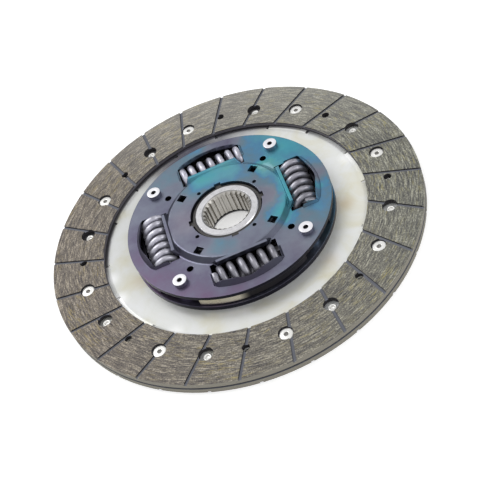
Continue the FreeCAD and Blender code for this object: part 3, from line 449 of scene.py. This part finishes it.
def machined_hub_steel(look):
    """The hub's steel: turned bright on its faces, dull with oil in the bore, nearly black on the flange."""
    material = turned_steel("machined_hub_steel", look.hub_colour, 0.35 * MM, 0.30)
    tree = material.node_tree
    shader = tree.nodes["Principled BSDF"]
    base = shader.inputs["Base Color"].links[0].from_socket
    _, level, reach = disc_coordinates(tree)
    # Bands by distance from the axis in mm, with their share: painted shadow at the bore's mouth, broached
    # bore, flange
    mouth_shadow_share, bore, flange = [
        add_node(tree, "ShaderNodeMapRange", {
            "Value": reach, "From Min": start * MM, "From Max": end * MM, "To Max": share})
        for start, end, share in ((15.2, 15.0, 0.7), (14.8, 14.5, 1.0), (19.0, 20.0, 1.0))]
    # Painted reflection: a part of the flange's rim is painted bright, and the flange a little paler in the
    # top and bottom windows
    worn = add_zones(tree, level, 0.0, (
        (-116, 60, 11, 1.6), (-104, 60, 11, 1.6), (92, 44, 30, 0.16), (-90, 40, 26, 0.08)))
    worn = add_node(tree, "ShaderNodeMath", {0: worn, 1: 1.0}, operation="MINIMUM")
    rim = add_node(
        tree, "ShaderNodeMix", {0: worn, 6: look.dark_flange_colour, 7: look.rim_reflection_colour}, out=2, data_type="RGBA")
    for share, colour in ((mouth_shadow_share, look.mouth_shadow_colour), (bore, look.bore_colour), (flange, rim)):
        base = add_node(tree, "ShaderNodeMix", {0: share, 6: base, 7: colour}, out=2, data_type="RGBA")
    fill_inputs(shader, {"Base Color": base})
    return material


def peened_spring_steel(look):
    """Shot-peened spring wire: dark oiled steel with a fine dimpled skin."""
    material, tree, shader = new_material("peened_spring_steel")
    place = add_node(tree, "ShaderNodeTexCoord", out="Object")
    cloud = add_node(tree, "ShaderNodeTexNoise", {
        "Vector": place, "Scale": 1 / (5 * MM), "Detail": 4.0, "Roughness": 0.6})
    share = add_node(tree, "ShaderNodeMapRange", {"Value": cloud, "From Min": 0.35, "From Max": 0.65})
    colour = add_node(
        tree, "ShaderNodeMix", {0: share, 6: look.spring_dark, 7: look.spring_pale}, out=2, data_type="RGBA")
    # Painted light and shade: the springs on one side of the damper are painted paler, and those on the other
    # side darker
    painted_spring_light = add_node(
        tree, "ShaderNodeVectorMath", {0: place, 1: (-0.58, 0.81, 0)}, out="Value", operation="DOT_PRODUCT")
    painted_spring_light = add_node(tree, "ShaderNodeMapRange", {
        "Value": painted_spring_light, "From Min": -43 * MM, "From Max": 43 * MM, "To Min": 0.74, "To Max": 1.66})
    colour = add_node(
        tree, "ShaderNodeMix", {0: 1.0, 6: colour, 7: painted_spring_light}, out=2, data_type="RGBA", blend_type="MULTIPLY")
    dimples = add_node(tree, "ShaderNodeTexNoise", {"Vector": place, "Scale": 1 / (0.35 * MM), "Detail": 2.0})
    bump = add_node(tree, "ShaderNodeBump", {"Strength": 0.2, "Distance": 0.02 * MM, "Height": dimples})
    roughness = add_node(tree, "ShaderNodeMapRange", {
        "Value": cloud, "From Min": 0.3, "From Max": 0.7, "To Min": 0.30, "To Max": 0.42})
    fill_inputs(shader, {"Base Color": colour, "Roughness": roughness, "Normal": bump, "Metallic": 0.75})
    return material


def mottled_skin(name, colour, grain, roughness, metallic=0.0):
    """A moulded, sintered, phosphated or oily part: matt, with a fine mottled skin."""
    material, tree, shader = new_material(name)
    place = add_node(tree, "ShaderNodeTexCoord", out="Object")
    mottle = add_node(tree, "ShaderNodeTexNoise", {
        "Vector": place, "Scale": 1 / grain, "Detail": 4.0, "Roughness": 0.65})
    shade = add_node(tree, "ShaderNodeValToRGB", {0: mottle}, ((0.35, "#b4b4b4"), (0.65, "#ffffff")))
    shaded = add_node(
        tree, "ShaderNodeMix", {0: 1.0, 6: colour, 7: shade}, out=2, data_type="RGBA", blend_type="MULTIPLY")
    bump = add_node(tree, "ShaderNodeBump", {"Strength": 0.3, "Distance": 0.03 * MM, "Height": mottle})
    fill_inputs(shader, {
        "Base Color": shaded, "Normal": bump, "Roughness": roughness, "Metallic": metallic})
    return material


def studio_paper(look):
    """White paper: it glows round the disc, with a painted glow in its bore and painted shade under it."""
    material, tree, shader = new_material("studio_paper")
    place = add_node(tree, "ShaderNodeTexCoord", out="Object")
    reach = add_node(tree, "ShaderNodeVectorMath", {0: place}, out="Value", operation="LENGTH")
    # The paper glows round the disc, which also paints out the disc's shadow on it
    around = add_node(tree, "ShaderNodeMapRange", {
        "Value": reach, "From Min": 72 * MM, "From Max": 78 * MM, "To Max": look.floor_glow})
    # Painted glow of the paper in the hub's bore
    within = add_node(tree, "ShaderNodeMapRange", {
        "Value": reach, "From Min": 15 * MM, "From Max": 13 * MM, "To Max": look.bore_glow})
    # Painted shade: the paper from 14 to 70 mm off the axis takes the dark shade colour
    outside = add_node(tree, "ShaderNodeMath", {0: reach, 1: 70 * MM}, operation="GREATER_THAN")
    inside = add_node(tree, "ShaderNodeMath", {0: reach, 1: 14 * MM}, operation="LESS_THAN")
    lit = add_node(tree, "ShaderNodeMath", {0: outside, 1: inside}, operation="ADD", use_clamp=True)
    fill_inputs(shader, {
        "Base Color": add_node(
            tree, "ShaderNodeMix", {0: lit, 6: look.shade_colour, 7: look.floor_colour},
            out=2, data_type="RGBA"),
        "Roughness": 0.9,
        "Emission Color": look.floor_colour,
        "Emission Strength": add_node(tree, "ShaderNodeMath", {0: around, 1: within}, operation="ADD")})
    return material


# Settings

class FacingSettings(bpy.types.PropertyGroup):
    fleck_colour: colour_property("Flecks", "Brass wire in the yarn", "#b0a473")
    brown_cast: colour_property("Brown side", "Cast of the facing on its brown side", "#f4ece6")
    green_cast: colour_property("Green side", "Cast of the facing on its green side", "#edf2ec")
    # Painted sheen on the side of the facing where the light falls brighter
    painted_sheen_colour: colour_property("Ground side", "Paler tone of the side that is ground deeper", "#cbc8c2")
    groove_colour: colour_property("Grooves", "Groove floors and seats", "#70727a")
    # Painted shade on the walls of grooves and holes, and on the inner edge
    shaded_wall_colour: colour_property("Walls", "Walls of grooves and holes, and the inner edge", "#343235")
    cut_colour: colour_property("Bore edge", "Cut edge of the facing's bore", "#66636a")
    rim_colour: colour_property("Rim", "Turned outer edge", "#837f74")


class RivetSettings(bpy.types.PropertyGroup):
    circle: length_property("Rivet circle", "From the disc's axis to a rivet", 92.7 * MM)
    head: length_property("Head", "Diameter of the flat head", 7.8 * MM)
    recess: length_property("Recess", "Diameter of the hollow in the head", 2.7 * MM)
    tail: length_property("Tail", "Diameter of the rolled tail", 5.5 * MM)
    colour: colour_property("Plating", "Bright plating of the rivets", "#f7f6f2")
    hollow_colour: colour_property("Hollows", "Dull hollows in the rivet heads", "#8f8c87")


class PlateSettings(bpy.types.PropertyGroup):
    edge_colour: colour_property("Edges", "Sheared edges and steep flanks", "#201f2b")
    bloom_colour: colour_property("Bloom", "Pale bloom on the oxide film", "#a6a3aa")


class SteelSettings(bpy.types.PropertyGroup):
    baked_colour: colour_property("Baked patches", "Straw brown patches on the cushion plate", "#c2ae84")
    # Painted shadow of the facing's wall on the cushion plate
    facing_shadow_colour: colour_property("Oil line", "Oil where the cushion plate runs under the facing", "#55525a")
    # Painted shade on the cushion plate beside the damper
    strip_shade_colour: colour_property("Smear", "Black oil beside the damper", "#5a5866")
    # Painted highlights on the cushion plate by the facing's bore
    painted_highlight_colour: colour_property("Wiped patches", "Patches that the facing has wiped bright", "#ffffff")
    hub_colour: colour_property("Hub", "Turned steel of the hub", "#dcdbdd")
    bore_colour: colour_property("Bore", "Dull broached steel of the bore", "#bebbb5")
    # Painted shadow line at the bore's mouth
    mouth_shadow_colour: colour_property("Lead-in", "Oily lead-in at the bore's mouth", "#6f6d6a")
    # Nearly black edges of the hub's flange
    dark_flange_colour: colour_property("Flange edge", "Oil-black edges of the hub's flange", "#2a292f")
    # Painted reflection on a part of the flange's rim
    rim_reflection_colour: colour_property("Worn rim", "Where the flange's rim is worn bright", "#d8d0bd")
    pin_colour: colour_property("Pins", "Turned steel of the stop pins", "#f3f2f6")
    # Painted shade on the upright sides of the stop pins
    shaded_side_colour: colour_property("Pin sides", "Greyer sides of the stop pins", "#9a99a6")
    # Painted shade in the stop pins' drilled holes
    centre_colour: colour_property("Drilled centres", "Oil-dark holes in the stop pins", "#2b2a2f")


class FrictionPackSettings(bpy.types.PropertyGroup):
    nylon_colour: colour_property("Bushes", "Glass-filled nylon of the bushes", "#454240")
    lining_colour: colour_property("Washers", "Sintered lining of the friction washers", "#57514a")
    phosphate_colour: colour_property(
        "Phosphate", "Phosphated steel of the control plate, cone spring and thrust ring", "#4a4b50")


class SpringSettings(bpy.types.PropertyGroup):
    circle: length_property("Spring circle", "From the disc's axis to a spring's axis", 43.4 * MM)
    outside: length_property("Outside", "Outside diameter of a spring", 17.4 * MM)
    wire: length_property("Wire", "Diameter of the wire", 3.9 * MM)
    length: length_property("Length", "From ground end to ground end", 39.2 * MM)
    turns: number_property("Turns", "Turns from end to end", 6.75, least=2.0)
    closed_turns: number_property("Closed turns", "Closed turns at each end", 0.75)
    closed_pitch: length_property("Closed pitch", "Rise of a closed turn", 3.6 * MM)
    rolls: FloatVectorProperty(
        name="Rolls", description="How far each spring has rolled about its own axis", size=4,
        subtype="EULER", default=(0.0, math.radians(100), math.radians(130), 0.0))
    squeeze: number_property(
        "Squeezed length", "Share of its length that a spring keeps at full turn", 0.69,
        least=0.1, max=1.0, subtype="FACTOR")
    sides: IntProperty(name="Sides", description="Sides of the wire's section", default=18, min=6)
    runs: IntProperty(name="Runs", description="Runs in one turn of the wire", default=36, min=8)
    spring_dark: colour_property("Oiled wire", "Darker skin of the wire", "#85848d")
    spring_pale: colour_property("Worn wire", "Paler skin of the wire", "#bab9c2")
    ground_colour: colour_property("Ground ends", "Bright ground ends of the wire", "#d9d5ca")


class StudioSettings(bpy.types.PropertyGroup):
    floor_colour: colour_property("Floor", "Paper that the disc lies on", "#f4f4f4")
    # Painted shade on the paper under the damper
    shade_colour: colour_property("Shade", "Paper in the deep shade under the disc", "#1c1c22")
    # Glow of the paper round the disc, which also paints out the disc's shadow on it
    floor_glow: number_property("Floor glow", "Light that comes through the paper", 0.45)
    # Painted glow of the paper in the hub's bore
    bore_glow: number_property("Bore glow", "Light that comes through the paper in the bore", 0.38)
    key_power: number_property("Key light", "Power of the large overhead light", 5.0, subtype="POWER")
    fill_power: number_property("Fill light", "Power of the side light", 1.5, subtype="POWER")
    room_strength: number_property("Room", "Strength of the room's own light", 0.85)


class ClutchDiscSettings(bpy.types.PropertyGroup):
    facings: PointerProperty(type=FacingSettings)
    rivets: PointerProperty(type=RivetSettings)
    plates: PointerProperty(type=PlateSettings)
    steel: PointerProperty(type=SteelSettings)
    friction_pack: PointerProperty(type=FrictionPackSettings)
    springs: PointerProperty(type=SpringSettings)
    studio: PointerProperty(type=StudioSettings)


# Pieces

class CLUTCH_OT_facings(bpy.types.Operator):
    """Dress both friction facings"""
    bl_idname = "clutch.facings"
    bl_label = "Facings"

    def execute(self, context):
        dress(friction_facing(context.scene.clutch_disc.facings), "upper_facing", "lower_facing")
        return {"FINISHED"}


class CLUTCH_OT_rivets(bpy.types.Operator):
    """Make the sixteen facing rivets, with hollowed heads and rolled tails"""
    bl_idname = "clutch.rivets"
    bl_label = "Facing rivets"

    def execute(self, context):
        sizes = context.scene.clutch_disc.rivets
        plating = turned_steel("bright_plated_rivet", sizes.colour, 0.5 * MM, 0.36, 0.5)
        hollow = mottled_skin("dull_rivet_hollow", sizes.hollow_colour, 0.8 * MM, 0.5)
        recess = sizes.recess / 2
        # Shares of a radius and heights in mm: the hollow and its lip, the head, the shank and the tail
        profile = [(radius * share, height * MM) for radius, points in (
            (recess, ((0.0, 5.7), (0.7, 5.75), (0.8, 6.1), (1.05, 6.36), (1.35, 6.39), (1.5, 6.28))),
            (sizes.head / 2, ((0.8, 6.32), (1.0, 6.15), (1.0, 5.5))),
            (2.1 * MM, ((1.0, 5.5), (1.0, 3.72))),
            (sizes.tail / 2, (
                (0.92, 3.72), (1.0, 3.45), (0.93, 3.05), (0.72, 2.74), (0.55, 2.8), (0.42, 3.1),
                (0.38, 3.7), (0.0, 3.7)))) for share, height in points]
        hollow_bottom, hollow_top = 4.75 * MM, 6.25 * MM
        for name, turned_over, first in (
                ("upper_facing_rivets", False, FIRST_RIVET),
                ("lower_facing_rivets", True, FIRST_RIVET + RIVET_STEP)):
            bm = bmesh.new()
            turn_profile(bm, profile, away=sizes.circle, steps=28)
            round_edges(bm, offset=0.09 * MM, segments=2, angle=28)
            for face in bm.faces:
                middle = face.calc_center_median()
                within = (middle - Vector((sizes.circle, 0, 0))).xy.length < recess
                if within and hollow_bottom < middle.z < hollow_top:
                    face.material_index = 1
            if turned_over:
                bmesh.ops.scale(bm, vec=(1, 1, -1), verts=bm.verts)
                bmesh.ops.translate(bm, vec=(0, 0, 2 * DISC_MIDDLE), verts=bm.verts)
            set_in_ring(bm, first, count=8)
            finished(name[:-1] + "_set", bm, [plating, hollow], "plates", [name])
        return {"FINISHED"}


class CLUTCH_OT_cushion_plate(bpy.types.Operator):
    """Dress the cushion plate"""
    bl_idname = "clutch.cushion_plate"
    bl_label = "Cushion plate"

    def execute(self, context):
        dress(satin_spring_steel(context.scene.clutch_disc.steel), "cushion_plate")
        return {"FINISHED"}


class CLUTCH_OT_damper_plates(bpy.types.Operator):
    """Dress the cover plate and the disc plate"""
    bl_idname = "clutch.damper_plates"
    bl_label = "Damper plates"

    # Zones of the oxide film and of the bloom, as add_zones reads them
    COVER_FILM = (
        (106, 33, 16, 0.30), (78, 33, 16, 0.30), (-108, 29, 17, 0.20), (-34, 35, 13, 0.36),
        (-12, 38, 12, 0.34), (8, 38, 11, 0.26), (-6, 24, 11, -0.14), (34, 37, 13, 0.56),
        (78, 60, 22, -0.36), (36, 56, 18, 0.16), (3, 57, 16, -0.24), (-10, 54, 6, 0.22),
        (-56, 55, 16, -0.04), (174, 25, 15, -0.10), (-25, 52, 9, 0.10), (-88, 56, 20, -0.10))
    COVER_BLOOM = (
        (76, 33, 15, 0.12), (174, 25, 17, 0.30), (-8, 25, 12, 0.22), (32, 37, 11, 0.42),
        (-56, 55, 16, 0.12))
    DISC_FILM = ((30, 30, 22, 0.30), (150, 45, 20, 0.20), (260, 34, 18, 0.25))
    DISC_BLOOM = ((200, 30, 20, 0.25), (70, 45, 18, 0.20))

    def execute(self, context):
        look = context.scene.clutch_disc.plates
        dress(blued_steel(look, "blued_cover_steel", self.COVER_FILM, self.COVER_BLOOM), "cover_plate")
        dress(blued_steel(look, "blued_disc_steel", self.DISC_FILM, self.DISC_BLOOM), "disc_plate")
        return {"FINISHED"}


class CLUTCH_OT_hub(bpy.types.Operator):
    """Dress the splined hub"""
    bl_idname = "clutch.hub"
    bl_label = "Hub"

    def execute(self, context):
        dress(machined_hub_steel(context.scene.clutch_disc.steel), "hub")
        return {"FINISHED"}


class CLUTCH_OT_stop_pins(bpy.types.Operator):
    """Make the four stop pins, with a drilled centre in each bright head"""
    bl_idname = "clutch.stop_pins"
    bl_label = "Stop pins"

    # Radii and heights above the flange's middle, in mm
    TAIL = [(0.0, -8.1), (3.5, -8.1), (4.4, -7.1), (4.4, -6.6)]
    BARREL = [(3.1, -6.6), (3.1, -3.2), (4.5, -3.2), (4.5, 3.2), (3.1, 3.2), (3.1, 5.4)]
    HEAD = [(4.1, 5.4), (4.1, 8.2), (1.55, 8.2)]
    CENTRE = [(1.5, 8.0), (1.5, 5.9), (0.0, 5.4)]

    def execute(self, context):
        look = context.scene.clutch_disc.steel
        steel = turned_steel("turned_pin_steel", look.pin_colour, 0.5 * MM, 0.36, 0.45)
        # Painted shade in the drilled centres, which are near black where the hole is shaded
        drilled = mottled_skin("shaded_pin_centre", look.centre_colour, 1.0 * MM, 0.5)
        # Painted shade: the pins' upright sides are a greyer, shaded copy of the same turned steel
        side = turned_steel("shaded_pin_side", look.shaded_side_colour, 0.5 * MM, 0.40)
        profile = [
            (radius * MM, FLANGE_MIDDLE + height * MM)
            for radius, height in self.TAIL + self.BARREL + self.HEAD + self.CENTRE]
        centre_radius, centre_bottom, centre_top = 1.52 * MM, 3.0 * MM, 8.0 * MM
        side_slope = 0.4
        bm = bmesh.new()
        turn_profile(bm, profile, away=PIN_CIRCLE, steps=40)
        round_edges(bm, offset=0.28 * MM, segments=3, angle=50)
        for face in bm.faces:
            middle = face.calc_center_median() - Vector((PIN_CIRCLE, 0, FLANGE_MIDDLE))
            if middle.xy.length < centre_radius and centre_bottom < middle.z < centre_top:
                face.material_index = 1
            elif abs(face.normal.z) < side_slope:
                face.material_index = 2
        set_in_ring(bm, FIRST_PIN, count=4)
        finished("stop_pin_set", bm, [steel, drilled, side], "plates", ["stop_pins"])
        return {"FINISHED"}


class CLUTCH_OT_friction_pack(bpy.types.Operator):
    """Dress the bushes, washers, control plate, cone spring and thrust ring round the hub"""
    bl_idname = "clutch.friction_pack"
    bl_label = "Friction pack"

    def execute(self, context):
        look = context.scene.clutch_disc.friction_pack
        nylon = mottled_skin("glass_filled_nylon", look.nylon_colour, 1.2 * MM, 0.45)
        lining = mottled_skin("sintered_friction_lining", look.lining_colour, 0.8 * MM, 0.75)
        phosphate = mottled_skin("phosphated_steel", look.phosphate_colour, 1.5 * MM, 0.5, 0.7)
        dress(nylon, "upper_bush", "lower_bush")
        dress(lining, "upper_friction_washer", "lower_friction_washer")
        dress(phosphate, "control_plate", "cone_spring", "lower_thrust_ring")
        return {"FINISHED"}


class CLUTCH_OT_damper_springs(bpy.types.Operator):
    """Wind the four damper springs of round wire, with closed and ground ends"""
    bl_idname = "clutch.damper_springs"
    bl_label = "Damper springs"

    def execute(self, context):
        sizes = context.scene.clutch_disc.springs
        materials = [
            peened_spring_steel(sizes), turned_steel("ground_wire_end", sizes.ground_colour, 0.4 * MM, 0.35)]
        axis, along = Vector((sizes.circle, 0, FLANGE_MIDDLE)), Vector((0, 1, 0))
        mean = (sizes.outside - sizes.wire) / 2
        travel = sizes.length - sizes.wire / 2
        open_turns = sizes.turns - 2 * sizes.closed_turns
        open_pitch = (travel - 2 * sizes.closed_turns * sizes.closed_pitch) / open_turns
        closed = (sizes.closed_turns, sizes.closed_pitch)
        for number, roll in enumerate(sizes.rolls, start=1):
            bm = bmesh.new()
            angle = math.radians(90) + roll
            outward = Vector((math.cos(angle), 0, math.sin(angle)))
            start = Matrix.Translation(axis + outward * mean - along * travel / 2)
            section = start @ Matrix((outward, along, outward.cross(along))).transposed().to_4x4()
            bmesh.ops.create_circle(
                bm, cap_ends=False, radius=sizes.wire / 2, segments=sizes.sides, matrix=section)
            ring = bm.verts[:] + bm.edges[:]
            for turns, pitch in (closed, (open_turns, open_pitch), closed):
                steps = round(turns * sizes.runs)
                ring = bmesh.ops.spin(
                    bm, geom=ring, cent=axis, axis=along, dvec=along * (turns * pitch / steps),
                    angle=math.tau * turns, steps=steps, use_merge=False, use_duplicate=False)["geom_last"]
            bmesh.ops.remove_doubles(bm, verts=bm.verts, dist=MERGE_DISTANCE)
            bmesh.ops.holes_fill(bm, edges=[edge for edge in bm.edges if edge.is_boundary], sides=0)
            # Both ends are ground flat
            for end in (-along, along):
                bmesh.ops.bisect_plane(
                    bm, geom=bm.verts[:] + bm.edges[:] + bm.faces[:], dist=1e-7,
                    plane_co=axis + end * sizes.length / 2, plane_no=end, clear_outer=True)
                made = bmesh.ops.holes_fill(
                    bm, edges=[edge for edge in bm.edges if edge.is_boundary], sides=0)
                for face in made["faces"]:
                    face.material_index = 1
            spin = Matrix.Rotation(math.radians(90) * (number - 1), 3, "Z")
            bmesh.ops.rotate(bm, cent=(0, 0, 0), matrix=spin, verts=bm.verts)
            piece = finished(
                "round_wire_spring_%d" % number, bm, materials, "plates", ["damper_spring_%d" % number])
            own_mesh(piece)
        return {"FINISHED"}


# The studio

def lay_paper(look):
    """The paper that the disc lies on."""
    bm = bmesh.new()
    bmesh.ops.create_grid(bm, x_segments=1, y_segments=1, size=3.0)
    mesh = bpy.data.meshes.new("floor")
    bm.to_mesh(mesh)
    bm.free()
    mesh.materials.append(studio_paper(look))
    floor = bpy.data.objects.new("floor", mesh)
    bpy.context.scene.collection.objects.link(floor)


def light_room(look):
    """A room that is brighter overhead, a large soft light and a smaller one from the side."""
    world = bpy.data.worlds.new("room")
    world.use_nodes = True
    tree = world.node_tree
    tree.nodes.clear()
    direction = add_node(tree, "ShaderNodeTexCoord", out="Generated")
    height = add_node(tree, "ShaderNodeMapRange", {
        "Value": add_node(tree, "ShaderNodeSeparateXYZ", {0: direction}, out="Z"), "From Min": -0.2})
    sky = add_node(tree, "ShaderNodeValToRGB", {0: height}, (
        (0.10, "#8d9096"), (0.35, "#c9ccd2"), (0.60, "#f2f3f5"), (1.00, "#ffffff")))
    room = add_node(tree, "ShaderNodeBackground", {"Color": sky, "Strength": look.room_strength})
    add_node(tree, "ShaderNodeOutputWorld", {"Surface": room})
    bpy.context.scene.world = world
    for name, power, side, place in (
            ("key_light", look.key_power, 0.7, (-0.60, 0.60, 0.98)),
            ("fill_light", look.fill_power, 0.5, (0.75, -0.35, 0.7))):
        lamp = bpy.data.lights.new(name, "AREA")
        lamp.shape = "SQUARE"
        lamp.size = side
        lamp.energy = power
        light = bpy.data.objects.new(name, lamp)
        light.location = place
        light.rotation_euler = (-Vector(place)).to_track_quat("-Z", "Y").to_euler()
        bpy.context.scene.collection.objects.link(light)


def place_camera():
    """The camera stands where the photograph was taken from, worked out in disc radii."""
    elevation, roll, turn = math.radians(45.20), math.radians(-25.61), math.radians(3.9)
    distance, aside, above = 5.8168, -0.04187, 0.09871
    back = Vector((0, -math.cos(elevation), math.sin(elevation)))
    level = Vector((1, 0, 0))
    upright = back.cross(level)
    right = math.cos(roll) * level + math.sin(roll) * upright
    up = math.cos(roll) * upright - math.sin(roll) * level
    spin = Matrix.Rotation(turn, 3, "Z")
    place = spin @ (back * distance - right * aside - up * above) * DISC_RADIUS
    place += Vector((0, 0, 2 * DISC_MIDDLE))
    axes = Matrix((spin @ right, spin @ up, spin @ back)).transposed().to_4x4()
    lens = bpy.data.cameras.new("camera")
    lens.lens = 84.4155
    lens.sensor_width = 36.0
    lens.clip_start = 0.01
    camera = bpy.data.objects.new("camera", lens)
    camera.matrix_world = Matrix.Translation(place) @ axes
    bpy.context.scene.collection.objects.link(camera)
    bpy.context.scene.camera = camera


class CLUTCH_OT_studio(bpy.types.Operator):
    """Set the floor, the soft lights and the camera"""
    bl_idname = "clutch.studio"
    bl_label = "Studio"

    def execute(self, context):
        look = context.scene.clutch_disc.studio
        lay_paper(look)
        light_room(look)
        place_camera()
        context.scene.view_settings.view_transform = "Standard"
        return {"FINISHED"}


class VIEW3D_PT_clutch_disc(bpy.types.Panel):
    bl_label = "Clutch disc"
    bl_space_type = "VIEW_3D"
    bl_region_type = "UI"
    bl_category = "Clutch disc"

    def draw(self, context):
        settings = context.scene.clutch_disc
        for operator, group in STEPS:
            box = self.layout.box()
            box.operator(operator)
            if group:
                values = getattr(settings, group)
                for name in values.__annotations__:
                    box.prop(values, name)


STEPS = (
    ("clutch.facings", "facings"), ("clutch.rivets", "rivets"), ("clutch.cushion_plate", "steel"),
    ("clutch.damper_plates", "plates"), ("clutch.hub", None), ("clutch.stop_pins", None),
    ("clutch.friction_pack", "friction_pack"), ("clutch.damper_springs", "springs"),
    ("clutch.studio", "studio"))

CLASSES = (
    FacingSettings, RivetSettings, PlateSettings, SteelSettings, FrictionPackSettings, SpringSettings,
    StudioSettings, ClutchDiscSettings, CLUTCH_OT_facings, CLUTCH_OT_rivets, CLUTCH_OT_cushion_plate,
    CLUTCH_OT_damper_plates, CLUTCH_OT_hub, CLUTCH_OT_stop_pins, CLUTCH_OT_friction_pack,
    CLUTCH_OT_damper_springs, CLUTCH_OT_studio, VIEW3D_PT_clutch_disc)


def register():
    for cls in CLASSES:
        bpy.utils.register_class(cls)
    bpy.types.Scene.clutch_disc = PointerProperty(type=ClutchDiscSettings)


def unregister():
    del bpy.types.Scene.clutch_disc
    for cls in reversed(CLASSES):
        bpy.utils.unregister_class(cls)


def main():
    register()
    for operator, _ in STEPS:
        category, name = operator.split(".")
        getattr(getattr(bpy.ops, category), name)()


if __name__ == "__main__":
    main()
